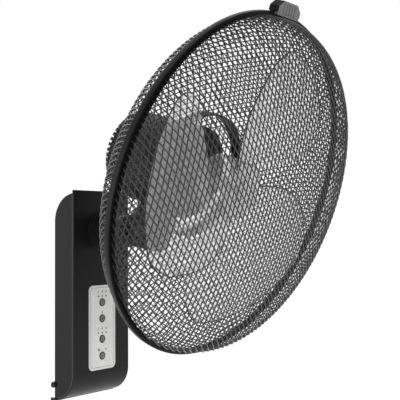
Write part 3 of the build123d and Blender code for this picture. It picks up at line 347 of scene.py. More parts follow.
def make_finishes():
    chosen = settings().finish
    # Plastics that show
    # The casing gets a painted highlight along its edges.
    make_finish("casing_plastic", chosen.casing, 0.38, dust=0.02, specular=0.15, edge_highlight_amount=0.8)
    make_finish("collar_plastic", chosen.casing, 0.30, specular=0.2)
    make_finish("ring_plastic", chosen.ring, 0.34, dust=0.02, specular=0.14)
    # Painted shade: a darker, duller copy of the ring's finish, for the ring's front face and for
    # black put where there is shade.
    make_finish("painted_shade_black", (0.005, 0.005, 0.005), 0.42, specular=0.08)
    make_finish("clip_plastic", (0.006, 0.006, 0.006), 0.38, specular=0.08)
    # Painted light: a much lighter copy of the clip's black, for its faces that look towards the
    # room, its ribs and its lip.
    make_finish("clip_painted_light", (0.115, 0.115, 0.115), 0.40, specular=0.3)
    make_finish("guard_wire", chosen.wire, 0.32, scale=2600.0, depth=0.00001, change=0.05,
                specular=0.6)
    make_finish("panel_silver", chosen.panel, 0.42, scale=5200.0, depth=0.000006, metallic=0.1,
                coat=0.15)
    make_finish("panel_print", chosen.ink, 0.55, scale=5200.0, depth=0.000004)
    make_finish("key_ring", (0.035, 0.035, 0.036), 0.35, scale=3600.0, depth=0.000008)
    make_finish("key_face", chosen.key, 0.38, scale=3600.0, depth=0.000008)
    make_finish("lamp_window", (0.10, 0.10, 0.11), 0.18, scale=3600.0, depth=0.000004, coat=0.6)
    make_finish("frosted_plastic", chosen.blade, 0.07, scale=700.0, depth=0.000004, change=0.03,
                transmission=0.80, ior=1.15)
    make_finish("hub_edge", (0.45, 0.45, 0.46), 0.30, scale=2600.0, depth=0.000004)
    make_finish("blade_edge", (0.02, 0.02, 0.035), 0.25, scale=2600.0, depth=0.000004)
    # Metals
    make_finish("black_steel", (0.012, 0.012, 0.0125), 0.42, surface=drawn_metal, scale=500.0,
                specular=0.2)
    make_finish("plated_steel", (0.56, 0.56, 0.58), 0.30, surface=drawn_metal, metallic=1.0,
                depth=0.000008)
    make_finish("core_steel", (0.30, 0.30, 0.32), 0.42, surface=drawn_metal, scale=2600.0,
                metallic=1.0)
    make_finish("copper_wire", (0.62, 0.27, 0.12), 0.32, surface=drawn_metal, scale=2400.0,
                metallic=0.9, depth=0.0001)
    make_finish("sintered_bronze", (0.52, 0.36, 0.18), 0.45, scale=2600.0, metallic=1.0,
                depth=0.00003)
    # Electrical parts and gears
    make_finish("board_green", (0.03, 0.12, 0.05), 0.35, scale=900.0, coat=0.4)
    make_finish("component_black", (0.02, 0.02, 0.02), 0.5)
    make_finish("component_blue", (0.04, 0.09, 0.25), 0.4)
    make_finish("acetal", (0.72, 0.70, 0.65), 0.42)


# ------------------------------------------------------------------ outlines
def arc(radius, first, last, steps, centre=(0.0, 0.0)):
    """Points along an arc between two angles in degrees."""
    points = []
    for k in range(steps + 1):
        a = math.radians(first + (last - first) * k / steps)
        points.append((centre[0] + radius * math.cos(a), centre[1] + radius * math.sin(a)))
    return points


def circle(radius, z, count=180):
    """Points round the head's axis at a height."""
    angles = [2 * math.pi * i / count for i in range(count)]
    return [(radius * math.cos(a), radius * math.sin(a), z) for a in angles]


def rounded(width, height, corner, steps=8):
    """A rectangle with round corners, about its middle."""
    points = []
    for across, up, first in ((1, 1, 0), (-1, 1, 90), (-1, -1, 180), (1, -1, 270)):
        centre = (across * (width / 2 - corner), up * (height / 2 - corner))
        points += arc(corner, first, first + 90, steps, centre)
    return points


def over_circle(radius, start, end, steps):
    """Points on a circle's upper half, evenly spaced in x."""
    points = []
    for i in range(steps + 1):
        x = start + (end - start) * i / steps
        points.append((x, math.sqrt(radius ** 2 - x ** 2)))
    return points


# ------------------------------------------------------------------ mesh helpers
def link_object(name, data):
    thing = bpy.data.objects.new(name, data)
    bpy.context.scene.collection.objects.link(thing)
    return thing


def mesh_from(bm, name):
    mesh = bpy.data.meshes.new(name)
    bm.to_mesh(mesh)
    bm.free()
    return mesh


def add_piece(name, mesh, body, material, at=HEAD):
    """Puts a mesh that is drawn in one of the frames into the scene, riding on a body."""
    mesh.transform(at)
    mesh.polygons.foreach_set("use_smooth", [True] * len(mesh.polygons))
    piece = link_object(name, mesh)
    mesh.materials.append(finishes[material])
    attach(piece, body)
    return piece


def sharpen(piece, degrees=32):
    """Keeps edges crisp where faces turn by more than an angle."""
    bm = bmesh.new()
    bm.from_mesh(piece.data)
    limit = math.radians(degrees)
    for edge in bm.edges:
        edge.smooth = len(edge.link_faces) == 2 and edge.calc_face_angle(0.0) < limit
    bm.to_mesh(piece.data)
    bm.free()


def soften(piece, width, segments=2, degrees=30):
    """Rounds a piece's edges."""
    bevel = piece.modifiers.new("rounded_edges", "BEVEL")
    bevel.width = width
    bevel.segments = segments
    bevel.limit_method = "ANGLE"
    bevel.angle_limit = math.radians(degrees)


def finish_front(piece, material, least):
    """Gives the faces that look towards the room a second finish, which paints light or shade on
    them by the way they face.
    """
    piece.data.materials.append(finishes[material])
    for face in piece.data.polygons:
        if face.normal.dot(FORWARD) > least:
            face.material_index = 1


def turned(name, profile, body, material, segments, at=HEAD, start=0.0, sweep=2 * math.pi):
    """A ring or disc turned about the head's axis from a closed profile of (radius, z)."""
    bm = bmesh.new()
    whole = sweep > 2 * math.pi - 1e-6
    rows = []
    for i in range(segments if whole else segments + 1):
        a = start + sweep * i / segments
        rows.append([bm.verts.new((r * math.cos(a), r * math.sin(a), z)) for r, z in profile])
    for i in range(segments):
        here, there = rows[i], rows[(i + 1) % len(rows)]
        for j in range(len(profile)):
            k = (j + 1) % len(profile)
            bm.faces.new((here[j], there[j], there[k], here[k]))
    if not whole:
        bm.faces.new(rows[0])
        bm.faces.new(rows[-1][::-1])
    bmesh.ops.remove_doubles(bm, verts=bm.verts, dist=1e-7)
    bmesh.ops.recalc_face_normals(bm, faces=bm.faces)
    piece = add_piece(name, mesh_from(bm, name), body, material, at)
    sharpen(piece)
    return piece


def prism(name, outline, near, far, body, material, at=HEAD, bevel=0.0):
    """A flat outline in x and y, made solid between two heights."""
    bm = bmesh.new()
    first = [bm.verts.new((x, y, near)) for x, y in outline]
    second = [bm.verts.new((x, y, far)) for x, y in outline]
    bm.faces.new(first[::-1])
    bm.faces.new(second)
    for i in range(len(outline)):
        j = (i + 1) % len(outline)
        bm.faces.new((first[i], first[j], second[j], second[i]))
    bmesh.ops.recalc_face_normals(bm, faces=bm.faces)
    piece = add_piece(name, mesh_from(bm, name), body, material, at)
    sharpen(piece)
    if bevel:
        soften(piece, bevel)
    return piece


def wires(name, paths, radius, body, material, at=HEAD, cyclic=False):
    """Round wires along lists of points, as one piece."""
    curve = bpy.data.curves.new(name, "CURVE")
    curve.dimensions = "3D"
    curve.bevel_depth = radius
    curve.bevel_resolution = 1
    curve.use_fill_caps = not cyclic
    for path in paths:
        line = curve.splines.new("POLY")
        line.points.add(len(path) - 1)
        for point, place in zip(line.points, path):
            point.co = (*(at @ Vector(place)), 1)
        line.use_cyclic_u = cyclic
        line.use_smooth = True
    curve.materials.append(finishes[material])
    piece = link_object(name, curve)
    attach(piece, body)
    return piece


def dress(material, *nodes):
    """Gives CAD nodes a finish."""
    for node in nodes:
        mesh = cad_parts[node].data
        mesh.materials.clear()
        mesh.materials.append(finishes[material])


# ------------------------------------------------------------------ guard
# Height of each dish at the rim, and the arcs (radius, degrees) from there to its crown.
FRONT_START = -0.0012
FRONT_ARCS = ((0.0390, 76.1),)
REAR_START = 0.0040
REAR_ARCS = ((0.0361, 34.8), (0.0568, 31.4))
REAR_OPENING = 0.0585
LAYER_LIFT = 0.42     # of a wire's diameter, so that crossing wires sink into each other a little
WIRE_STEP = 0.0052    # between a wire's points
RIM_WIRE = 0.0012


def dish_section(arcs, start, rim):
    """Section of a dished guard from its rim to its middle: centre, size, first angle and turn of
    each tangent arc, the last one being the crown."""
    section = []
    r, h, a = rim, start, 0.0
    for size, degrees in arcs:
        turn = math.radians(degrees)
        centre = (r - size * math.cos(a), h - size * math.sin(a))
        section.append((centre, size, a, turn))
        a += turn
        r, h = centre[0] + size * math.cos(a), centre[1] + size * math.sin(a)
    crown = r / math.cos(a)
    section.append(((0.0, h - crown * math.sin(a)), crown, a, math.pi / 2 - a))
    return section


def on_dish(section, run, lift):
    """Radius and height at a run along the section from its middle, lifted off the dish."""
    for centre, size, a, turn in reversed(section):
        if run <= size * turn + 1e-6:
            break
        run -= size * turn
    angle = a + turn - run / size
    return centre[0] + (size + lift) * math.cos(angle), centre[1] + (size + lift) * math.sin(angle)


def guard_wires(name, angle, pitch, shift, section, way, lift, opening):
    """One layer of a flat net that was pressed over a dish, cut off round its middle opening."""
    along = Vector((math.cos(angle), math.sin(angle)))
    across = Vector((-along.y, along.x))
    reach = sum(size * turn for centre, size, a, turn in section)
    paths = []
    count = int(reach / pitch) + 1
    for k in range(-count, count + 1):
        offset = k * pitch + shift
        if abs(offset) > reach - 0.002:
            continue
        half = math.sqrt(reach ** 2 - offset ** 2)
        steps = max(10, int(half / WIRE_STEP))
        path = []
        for i in range(steps + 1):
            place = along * (half * math.sin(math.pi * (i / steps - 0.5))) + across * offset
            radius, height = on_dish(section, place.length, lift)
            if radius < opening:
                paths.append(path)
                path = []
                continue
            flat = place.normalized() * radius
            path.append((flat.x, flat.y, way * height))
        paths.append(path)
    paths = [path for path in paths if len(path) > 1]
    return wires(name, paths, settings().guard.wire_diameter / 2, "fan_head", "guard_wire")


def make_guard():
    guard = settings().guard
    rim, hoop = guard.mesh_radius, guard.hoop_radius
    front = dish_section(FRONT_ARCS, FRONT_START, rim)
    rear = dish_section(REAR_ARCS, REAR_START, rim)
    layer = guard.wire_diameter * LAYER_LIFT
    for i, (label, lift) in enumerate((("outer", layer), ("inner", -layer))):
        guard_wires(f"front_wires_{label}", guard.front_angles[i],
                                guard.front_pitches[i], guard.front_shifts[i], front, 1, lift, 0.0)
        guard_wires(f"rear_wires_{label}", guard.rear_angles[i],
                                guard.rear_pitches[i], guard.rear_shifts[i], rear, -1, lift,
                                REAR_OPENING)
    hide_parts("front_grille")
    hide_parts("rear_grille")
    for side, height in (("front", -0.0024), ("rear", -0.0047)):
        wires(f"{side}_rim_wire", [circle(rim + 0.0014, height)], RIM_WIRE, "fan_head",
              "guard_wire", cyclic=True)
    # A black band at the guard's rim. It stands for the ring's inner lip, and its black also
    # paints the shade in the gap behind the ring's face.
    turned("front_rim_band", [(rim, -0.0034), (rim + 0.0009, -0.0034), (rim + 0.0009, 0.0034),
                              (rim, 0.0034)], "fan_head", "painted_shade_black", 240)
    turned("rear_centre_plate", [(0.0151, -0.077), (0.057, -0.077), (0.0585, -0.0745),
                                 (0.0600, -0.0745), (0.0605, -0.0755), (0.0605, -0.079),
                                 (0.0151, -0.079)], "fan_head", "casing_plastic", 96)
    turned("rear_hoop", [(hoop - 0.0026, -0.0758), (hoop - 0.0026, -0.0592),
                         (hoop - 0.0018, -0.0588), (hoop - 0.0006, -0.0588), (hoop, -0.0594),
                         (hoop, -0.0758)], "fan_head", "casing_plastic", 128)


def make_ring():
    """The ring, a split channel with a round-edged outer band and a front face with a darker,
    duller finish as painted shade, and the two ears that hold the clip's pin."""
    guard = settings().guard
    r, d = guard.ring_radius, guard.ring_depth
    inner, lip, wall = RING_BORE, 0.0012, 0.0020
    profile = [(inner, -lip), (inner, -0.0003), (inner + 0.0003, 0.0), (r - 0.0011, 0.0),
               (r - 0.0005, -0.0001), (r - 0.0001, -0.0005), (r, -0.0011), (r, -d + 0.0010),
               (r - 0.0003, -d + 0.0003), (r - 0.0010, -d), (inner, -d), (inner, -d + lip),
               (r - wall, -d + lip), (r - wall, -lip)]
    half_gap = 0.001 / r
    ring = turned("guard_ring_band", profile, "fan_head", "ring_plastic", 240,
                  start=math.pi / 2 + half_gap, sweep=2 * math.pi - 2 * half_gap)
    # The ring's faces that look towards the room get the painted shade finish.
    finish_front(ring, "painted_shade_black", 0.95)
    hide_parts("guard_ring")
    ear = [(-0.0070, 0.2131), (-0.0070, 0.2143), (-0.0083, 0.2146), (-0.0084, 0.2185),
           *arc(CLIP_KNUCKLE, 0, 180, 6, CLIP_PIN), (-0.0144, 0.2131)]
    for side, near, far in (("left", -0.0112, -0.0082), ("right", 0.0082, 0.0112)):
        prism(f"clip_ear_{side}", ear, near, far, "fan_head", "ring_plastic", at=HEAD_SIDE,
              bevel=0.0004)


# ------------------------------------------------------------------ clip
def make_clip():
    """Latch over the ring's split: a chamfered block with grip ribs, on a small knuckle."""
    half, top_half, shoulder, top = 0.0235, 0.0150, 0.2210, 0.2285
    front, back = 0.0060, -0.0080
    saddle, lip_top, inset = 0.2153, 0.2165, 0.0012
    block = [(-half, shoulder), (-top_half, top), (top_half, top), (half, shoulder),
             *over_circle(saddle, half, -half, 14)]
    body = prism("clip_body", block, front, back, "latch", "clip_plastic")
    # The clip's front faces get the lighter painted light finish; its sides stay black.
    finish_front(body, "clip_painted_light", 0.9)
    soften(body, 0.0010, 3)
    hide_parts("ring_clip")
    lip = over_circle(lip_top, -half + inset, half - inset, 14)
    lip += [(x, RING_BORE + 0.0002)
            for x, y in over_circle(lip_top, half - inset, -half + inset, 14)]
    prism("clip_lip", lip, 0.0004, front, "latch", "clip_painted_light", bevel=0.0006)
    rib_pitch, rib_half, rib_low, rib_top = 0.0056, 0.0016, RING_BORE + 0.0032, top - 0.0022
    for i in range(5):
        x = (i - 2) * rib_pitch
        rib = [(x - rib_half, rib_low), (x + rib_half, rib_low), (x + rib_half, rib_top),
               (x - rib_half, rib_top)]
        prism(f"clip_rib_{i + 1}", rib, front - 0.0006, front + 0.0007, "latch", "clip_painted_light",
              bevel=0.0005)
    knuckle = [*arc(CLIP_KNUCKLE, 60, 300, 16, CLIP_PIN), (-0.0070, 0.2165), (-0.0070, 0.2215)]
    prism("clip_knuckle", knuckle, -0.0079, 0.0079, "latch", "clip_plastic", at=HEAD_SIDE,
          bevel=0.0003)


# ------------------------------------------------------------------ blades
# The first blade's outline, as angles in degrees round the axis at radii in metres. Its leading
# edge is straight out to RAKE_START. From there to its corner it turns by RAKE degrees in each
# RAKE_LENGTH.
LEAD_ROOT = 138.0
RAKE_START, RAKE, RAKE_LENGTH = 0.050, 3.5, 0.090
TRAIL = ((0.030, 253.0), (0.060, 249.1), (0.096, 240.3), (0.140, 224.2), (0.158, 218.3),
         (0.168, 211.5))
# Where the two corners at the tip start, and by how much each edge turns there.
LEAD_CORNER, LEAD_TURN = 0.115, 14.0
TRAIL_CORNER, TRAIL_TURN = 0.168, 6.0
BLADE_LENGTH = 0.140
ROOT_SINK = 0.0012    # how far the blade's root reaches into the hub's wall
BEAD_START = 0.150    # the leading edge has a dark bead past this radius only
BEAD = 0.0009


def smooth_curve(points, value):
    """Smooth curve through a table of (place, value) points."""
    for i in range(len(points) - 1):
        (x0, y0), (x1, y1) = points[i], points[i + 1]
        if value <= x1 or i == len(points) - 2:
            before = points[max(i - 1, 0)]
            after = points[min(i + 2, len(points) - 1)]
            m0 = (y1 - before[1]) / (x1 - before[0])
            m1 = (after[1] - y0) / (after[0] - x0)
            t = (value - x0) / (x1 - x0)
            h = x1 - x0
            return ((2 * t ** 3 - 3 * t ** 2 + 1) * y0 + (t ** 3 - 2 * t ** 2 + t) * h * m0
                    + (-2 * t ** 3 + 3 * t ** 2) * y1 + (t ** 3 - t ** 2) * h * m1)


def corner_turn(radius, corner, degrees):
    """Turn of an edge past its corner, along a quarter ellipse that ends at the tip."""
    if radius <= corner:
        return 0.0
    x = min((radius - corner) / (BLADE_TIP - corner), 1.0)
    return degrees * (1 - math.sqrt(1 - x * x))


def blade_edges(radius):
    """Angles of the leading and the trailing edge at a radius, in degrees."""
    raked = max(min(radius, LEAD_CORNER) - RAKE_START, 0.0)
    lead = LEAD_ROOT - RAKE * raked / RAKE_LENGTH
    lead += corner_turn(radius, LEAD_CORNER, LEAD_TURN)
    trail = smooth_curve(TRAIL, min(radius, TRAIL_CORNER))
    trail -= corner_turn(radius, TRAIL_CORNER, TRAIL_TURN)
    return lead, trail


def blade_rise(radius, past):
    """Height of the blade's rear face at a radius and at an angle past the leading edge's root."""
    k = (radius - HUB_RADIUS) / BLADE_LENGTH
    lead = -0.036 + 0.028 * k
    trail = 0.005 + 0.011 * k + 0.036 * max(k, 0) * (1 - k)
    span = 112.0 - 46.0 * max(k, 0) ** 1.4
    return lead + (trail - lead) * past / span


def make_blade(index):
    blades = settings().blades
    turn = 2 * math.pi * index / blades.count
    reach = blades.tip_radius - blades.root_radius + ROOT_SINK
    rows, columns = 30, 34
    bm = bmesh.new()
    grid = []
    for i in range(rows + 1):
        radius = blades.root_radius - ROOT_SINK + reach * math.sin(math.pi / 2 * i / rows)
        lead, trail = blade_edges(radius)
        line = []
        for j in range(columns + 1):
            degrees = lead + (trail - lead) * j / columns
            a = math.radians(degrees) + turn
            z = blade_rise(radius, degrees - LEAD_ROOT) + blades.thickness / 2
            line.append(bm.verts.new((radius * math.cos(a), radius * math.sin(a), z)))
        grid.append(line)
    for i in range(rows):
        for j in range(columns):
            bm.faces.new((grid[i][j], grid[i][j + 1], grid[i + 1][j + 1], grid[i + 1][j]))
    bmesh.ops.recalc_face_normals(bm, faces=bm.faces)
    edge = [line[0] for line in grid if line[0].co.to_2d().length > BEAD_START]
    edge += grid[-1][1:] + [line[-1] for line in grid[-2::-1]]
    edge = [tuple(corner.co) for corner in edge]
    name = f"blade_{index + 1}"
    blade = add_piece(name, mesh_from(bm, name), "rotor", "frosted_plastic")
    sheet = blade.modifiers.new("sheet", "SOLIDIFY")
    sheet.thickness = blades.thickness
    sheet.offset = 0.0
    soften(blade, blades.thickness * 0.35, 2, 50)
    wires(f"blade_edge_{index + 1}", [edge], BEAD, "rotor", "blade_edge")
    return blade


def make_blades():
    blades = settings().blades
    first = [make_blade(i) for i in range(blades.count)][0]
    r = blades.root_radius
    turned("blade_hub", [(0.0090, 0.0046), (0.0090, 0.0070), (r - 0.0030, 0.0070),
                         (r - 0.0015, 0.0066), (r - 0.0004, 0.0056), (r, 0.0040), (r, -0.0380),
                         (r - 0.0022, -0.0380), (r - 0.0022, 0.0046)],
           "rotor", "frosted_plastic", 96)
    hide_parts("fan_blades")
    wires("hub_rim_edge", [circle(r - 0.0008, -0.0376, 96)], 0.0008, "rotor", "hub_edge",
          cyclic=True)
    turned("hub_boss", [(0.0040, -0.0240), (0.0040, 0.0046), (0.0120, 0.0046), (0.0120, -0.0240)],
           "rotor", "frosted_plastic", 64)
    rib_start, rib_end, rib_half = 0.0119, r - 0.0020, 0.0006
    rib = [(rib_start, -rib_half), (rib_end, -rib_half), (rib_end, rib_half),
           (rib_start, rib_half)]
    for i in range(6):
        turn = Matrix.Rotation(math.pi * i / 3, 4, "Z")
        prism(f"hub_rib_{i + 1}", rib, -0.020, 0.0048, "rotor", "frosted_plastic", at=HEAD @ turn)
    grip = []
    for i in range(72):
        a = 2 * math.pi * i / 72
        radius = 0.0150 - (0.0007 if i % 3 == 0 else 0.0)
        grip.append((radius * math.cos(a), radius * math.sin(a)))
    nut = prism("spinner_grip", grip, 0.0071, 0.0120, "rotor", "frosted_plastic", bevel=0.0008)
    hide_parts("spinner_nut")


# ------------------------------------------------------------------ control panel
NUMBER_ROWS = {"speed": 0.0007, "timer": -0.0500}
NUMBER_PLACES = (-0.0073, 0.0, 0.0073)
NUMBER_HEIGHT = 0.0046


def make_panel():
    dress("panel_silver", "control_panel")
    dress("lamp_window", "panel_windows")
    border = [(x, PANEL_FACE - 0.00002, PANEL_MIDDLE + z)
              for x, z in rounded(0.0445, 0.1085, 0.0048)]
    wires("panel_border", [border], 0.00022, "wall_unit", "panel_print", at=WORLD, cyclic=True)
    for row, z in NUMBER_ROWS.items():
        for i, x in enumerate(NUMBER_PLACES):
            name = f"{row}_mark_{i + 1}"
            digit = bpy.data.curves.new(name, "FONT")
            digit.body = str(i + 1)
            digit.size = NUMBER_HEIGHT
            digit.offset = 0.00012
            digit.align_x = "CENTER"
            digit.align_y = "CENTER"
            digit.extrude = 0.00008
            digit.materials.append(finishes["panel_print"])
            mark = link_object(name, digit)
            mark.matrix_world = (Matrix.Translation((x, PANEL_FACE - 0.00005, z))
                                 @ Matrix.Rotation(math.pi / 2, 4, "X"))
            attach(mark, "wall_unit")


def sign_strokes(kind):
    """Plain signs on the buttons, as strokes in x and z about the button's middle."""
    if kind == "power":
        return [arc(0.0017, 120, 420, 14), [(0, 0.0004), (0, 0.0022)]]
    if kind == "speed":
        return [arc(0.0016, 0, 360, 14), arc(0.0005, 0, 360, 14)]
    if kind == "timer":
        return [arc(0.0018, 0, 360, 14), [(0, 0.0012), (0, 0), (0.0008, -0.0004)]]
    return [arc(0.0018, 40, 140, 14), [(-0.0016, 0.0010), (-0.0018, -0.0004)],
            [(0.0016, 0.0010), (0.0018, -0.0004)], [(0, -0.0016), (0, 0.0002)]]


def make_button(kind, up):
    """A round key: a dark rim, a shallow lighter dish and a small sign."""
    body, face = f"{kind}_key", KEY_FACE
    # Turned about the key's own axis, with heights as the wall's y.
    place = (Matrix.Translation((0, 0, up)) @ Matrix.Rotation(math.pi / 2, 4, "X")
             @ Matrix.Scale(-1, 4, (0, 0, 1)))
    rim = turned(f"{kind}_key_rim", [(0.0001, -0.0372), (0.0070, -0.0372), (0.0070, -0.03848),
                                     (0.0054, -0.03848), (0.0054, face + 0.0006),
                                     (0.0052, face + 0.0002), (0.0048, face), (0.0040, face),
                                     (0.0036, face + 0.0003), (0.0036, face + 0.0012),
                                     (0.0001, face + 0.0012)], body, "key_ring", 64, at=place)
    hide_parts(f"{kind}_button")
    turned(f"{kind}_key_face", [(0.0000, face + 0.00055), (0.0020, face + 0.0005),
                                (0.0035, face + 0.0002), (0.0036, face + 0.0013),
                                (0.0000, face + 0.0013)], body, "key_face", 48, at=place)
    strokes = [[(x, face + 0.00042, up + z) for x, z in path] for path in sign_strokes(kind)]
    wires(f"{kind}_key_sign", strokes, 0.00026, body, "key_ring", at=WORLD)


# ------------------------------------------------------------------ stage
# Name, place, target, diameter and watts of each round lamp.
LAMPS = (("left_lamp", (-1.8, 1.0, 0.1), (-0.1, -0.1, 0.0), 1.5, 8),
         ("front_lamp", (-0.2, -2.0, 1.0), (0, -0.2, 0.1), 1.1, 14),
         ("rear_lamp", (0.5, 1.5, 1.6), (0, -0.2, 0.1), 1.2, 12))
# Strength of the surroundings as light, and what makes them white where they show.
SKY_LIGHT, SKY_SHOWN = 0.92, 0.08
FLOOR_RADIUS = 9.0
FLOOR_COLOUR = (0.94, 0.94, 0.94, 1)
FLOOR_GLOW = 0.14
WHITE = (1, 1, 1, 1)


def make_camera():
    stage = settings().stage
    data = bpy.data.cameras.new("view")
    data.sensor_width = 36.0
    data.lens = stage.lens
    data.clip_start = 0.01
    camera = link_object("view", data)
    turn, pitch, roll = stage.azimuth, stage.pitch, stage.roll
    ahead = Vector((math.sin(turn) * math.cos(pitch), math.cos(turn) * math.cos(pitch),
                    math.sin(pitch)))
    level = Vector((math.cos(turn), -math.sin(turn), 0))
    upright = level.cross(ahead)
    right = math.cos(roll) * level + math.sin(roll) * upright
    up = math.cos(roll) * upright - math.sin(roll) * level
    axes = Matrix((right, up, -ahead)).transposed()
    camera.matrix_world = Matrix.Translation(stage.camera_place) @ axes.to_4x4()
    bpy.context.scene.camera = camera


def add_lamp(name, place, target, size, power):
    data = bpy.data.lights.new(name, "AREA")
    data.shape = "DISK"
    data.size = size
    data.energy = power
    lamp = link_object(name, data)
    aim = (Vector(target) - Vector(place)).to_track_quat("-Z", "Y")
    lamp.matrix_world = Matrix.Translation(place) @ aim.to_matrix().to_4x4()


def seen_directly(tree):
    """1 for rays that show what is behind the fan: from the camera, off gloss, through plastic."""
    path = tree.nodes.new("ShaderNodeLightPath")
    first = maths(tree, "MAXIMUM", path.outputs["Is Camera Ray"], path.outputs["Is Glossy Ray"])
    return maths(tree, "MAXIMUM", first, path.outputs["Is Transmission Ray"])


def make_world():
    world = bpy.data.worlds.new("studio")
    bpy.context.scene.world = world
    world.use_nodes = True
    tree = world.node_tree
    back = tree.nodes["Background"]
    back.inputs["Color"].default_value = WHITE
    shown = maths(tree, "MULTIPLY", seen_directly(tree), SKY_SHOWN)
    feed(tree, back.inputs["Strength"], maths(tree, "ADD", shown, SKY_LIGHT))


def make_floor():
    bm = bmesh.new()
    bmesh.ops.create_circle(bm, cap_ends=True, segments=96, radius=FLOOR_RADIUS)
    mesh = mesh_from(bm, "floor")
    mesh.transform(Matrix.Translation((0, 0, settings().stage.floor)))
    floor = link_object("floor", mesh)
    material = bpy.data.materials.new("pale_floor")
    material.use_nodes = True
    tree = material.node_tree
    matt = tree.nodes["Principled BSDF"]
    matt.inputs["Base Color"].default_value = FLOOR_COLOUR
    matt.inputs["Roughness"].default_value = 0.9
    glow = tree.nodes.new("ShaderNodeEmission")
    glow.inputs["Color"].default_value = WHITE
    feed(tree, glow.inputs["Strength"], maths(tree, "MULTIPLY", seen_directly(tree), FLOOR_GLOW))
    both = tree.nodes.new("ShaderNodeAddShader")
    feed(tree, both.inputs[0], matt.outputs[0])
    feed(tree, both.inputs[1], glow.outputs[0])
    feed(tree, tree.nodes["Material Output"].inputs["Surface"], both.outputs[0])
    mesh.materials.append(material)


# ------------------------------------------------------------------ operators
class WALLFAN_OT_stage(bpy.types.Operator):
    """Camera, lamps, floor and white surroundings"""
    bl_idname = "wallfan.stage"
    bl_label = "Stage"
    bl_options = {"REGISTER", "UNDO"}

    def execute(self, context):
        make_camera()
        make_world()
        make_floor()
        for lamp in LAMPS:
            add_lamp(*lamp)
        context.scene.view_settings.view_transform = "Standard"
        return {"FINISHED"}


class WALLFAN_OT_finishes(bpy.types.Operator):
    """Plastics, metals and paint of all the pieces"""
    bl_idname = "wallfan.finishes"
    bl_label = "Finishes"
    bl_options = {"REGISTER", "UNDO"}

    def execute(self, context):
        make_finishes()
        return {"FINISHED"}


class WALLFAN_OT_wall_box(bpy.types.Operator):
    """Wall plate, box and what stands on them"""
    bl_idname = "wallfan.wall_box"
    bl_label = "Wall box"
    bl_options = {"REGISTER", "UNDO"}

    def execute(self, context):
        dress("casing_plastic", "rear_shell", "front_cover")
        dress("collar_plastic", "neck_collar", "cable_gland", "gland_nut")
        dress("black_steel", "wall_plate")
        return {"FINISHED"}


class WALLFAN_OT_panel(bpy.types.Operator):
    """Silver panel with its border, numbers and lamp windows"""
    bl_idname = "wallfan.panel"
    bl_label = "Control panel"
    bl_options = {"REGISTER", "UNDO"}

    def execute(self, context):
        make_panel()
        return {"FINISHED"}


class WALLFAN_OT_buttons(bpy.types.Operator):
    """The four round buttons"""
    bl_idname = "wallfan.buttons"
    bl_label = "Buttons"
    bl_options = {"REGISTER", "UNDO"}

    def execute(self, context):
        for kind, up in KEY_HEIGHTS.items():
            make_button(kind, up)
        return {"FINISHED"}


class WALLFAN_OT_neck(bpy.types.Operator):
    """Neck tube, tilt knuckle and gear case"""
    bl_idname = "wallfan.neck"
    bl_label = "Neck and knuckle"
    bl_options = {"REGISTER", "UNDO"}

    def execute(self, context):
        dress("casing_plastic", "neck_tube", "tilt_knuckle", "gear_case")
        dress("black_steel", "tilt_bolt", "tilt_nut")
        dress("plated_steel", "tilt_washers", "pan_post", "post_nut")
        return {"FINISHED"}


class WALLFAN_OT_motor(bpy.types.Operator):
    """Motor housing, with a black sheet behind its vents as painted shade"""
    bl_idname = "wallfan.motor"
    bl_label = "Motor housing"
    bl_options = {"REGISTER", "UNDO"}

    def execute(self, context):
        dress("casing_plastic", "motor_front_shell", "motor_rear_housing", "grille_nut")
        # A thin black band just under the vents' floors: painted shade that makes the vents look
        # deep.
        turned("motor_vent_painted_shade", [(0.0470, -0.1765), (0.0502, -0.1765), (0.0524, -0.1755),
                                     (0.0530, -0.1735), (0.0530, -0.1640), (0.0522, -0.1640),
                                     (0.0522, -0.1730), (0.0500, -0.1757), (0.0470, -0.1757)],
               "fan_head", "painted_shade_black", 96)
        return {"FINISHED"}


class WALLFAN_OT_guard(bpy.types.Operator):
    """Front and rear wire guards with the rear hoop"""
    bl_idname = "wallfan.guard"
    bl_label = "Wire guard"
    bl_options = {"REGISTER", "UNDO"}

    def execute(self, context):
        make_guard()
        return {"FINISHED"}


class WALLFAN_OT_ring(bpy.types.Operator):
    """Ring round the guard, with the clip's ears"""
    bl_idname = "wallfan.ring"
    bl_label = "Guard ring"
    bl_options = {"REGISTER", "UNDO"}

    def execute(self, context):
        make_ring()
        return {"FINISHED"}


class WALLFAN_OT_clip(bpy.types.Operator):
    """Latch on top of the ring"""
    bl_idname = "wallfan.clip"
    bl_label = "Ring clip"
    bl_options = {"REGISTER", "UNDO"}

    def execute(self, context):
        make_clip()
        dress("plated_steel", "clip_pin")
        return {"FINISHED"}


class WALLFAN_OT_blades(bpy.types.Operator):
    """Blades, hub and spinner nut"""
    bl_idname = "wallfan.blades"
    bl_label = "Blades"
    bl_options = {"REGISTER", "UNDO"}

    def execute(self, context):
        make_blades()
        dress("plated_steel", "motor_shaft", "drive_pin")
        return {"FINISHED"}


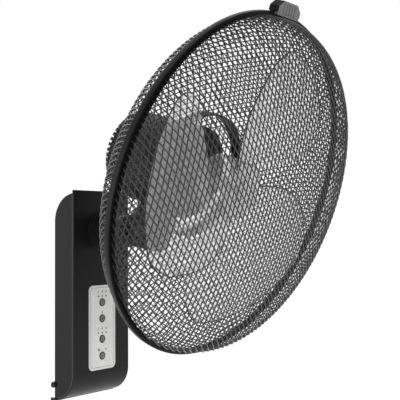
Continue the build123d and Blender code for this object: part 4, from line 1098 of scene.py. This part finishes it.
class WALLFAN_OT_inner_parts(bpy.types.Operator):
    """Boards, motor core, bearings, gears and screws"""
    bl_idname = "wallfan.inner_parts"
    bl_label = "Inner parts"
    bl_options = {"REGISTER", "UNDO"}

    def execute(self, context):
        dress("plated_steel", "cover_screws", "control_board_screws", "neck_bracket",
              "neck_bolts", "swing_motor", "swing_motor_screws", "motor_rear_bracket",
              "motor_bolts", "housing_screws")
        dress("core_steel", "stator_core", "rotor_core", "power_transformer")
        dress("copper_wire", "stator_windings")
        dress("sintered_bronze", "front_bearing", "rear_bearing", "pan_bush")
        dress("board_green", "control_board", "power_board")
        dress("component_black", "button_switches", "run_capacitor", "terminal_block")
        dress("component_blue", "speed_relays", "indicator_lamps")
        dress("acetal", "swing_sector", "swing_pinion")
        return {"FINISHED"}


# In the order in which they run: the pieces need the finishes.
STEPS = (WALLFAN_OT_stage, WALLFAN_OT_finishes, WALLFAN_OT_wall_box, WALLFAN_OT_panel,
         WALLFAN_OT_buttons, WALLFAN_OT_neck, WALLFAN_OT_motor, WALLFAN_OT_guard,
         WALLFAN_OT_ring, WALLFAN_OT_clip, WALLFAN_OT_blades, WALLFAN_OT_inner_parts)


class WALLFAN_PT_panel(bpy.types.Panel):
    """The fan's steps and settings"""
    bl_label = "Wall fan"
    bl_idname = "WALLFAN_PT_panel"
    bl_space_type = "VIEW_3D"
    bl_region_type = "UI"
    bl_category = "Wall fan"

    def draw(self, context):
        for step in STEPS:
            self.layout.operator(step.bl_idname)
        chosen = context.scene.wall_fan
        for part in ("guard", "blades", "finish", "stage"):
            box = self.layout.box()
            box.label(text=part.capitalize())
            group = getattr(chosen, part)
            for label in group.__annotations__:
                box.prop(group, label)


CLASSES = (FanGuardSettings, FanBladeSettings, FanFinishSettings, FanStageSettings,
           WallFanSettings, *STEPS, WALLFAN_PT_panel)


def register():
    for item in CLASSES:
        bpy.utils.register_class(item)
    bpy.types.Scene.wall_fan = PointerProperty(type=WallFanSettings)


def unregister():
    del bpy.types.Scene.wall_fan
    for item in reversed(CLASSES):
        bpy.utils.unregister_class(item)


def main():
    register()
    for step in STEPS:
        group, name = step.bl_idname.split(".")
        getattr(getattr(bpy.ops, group), name)()


if __name__ == "__main__":
    main()
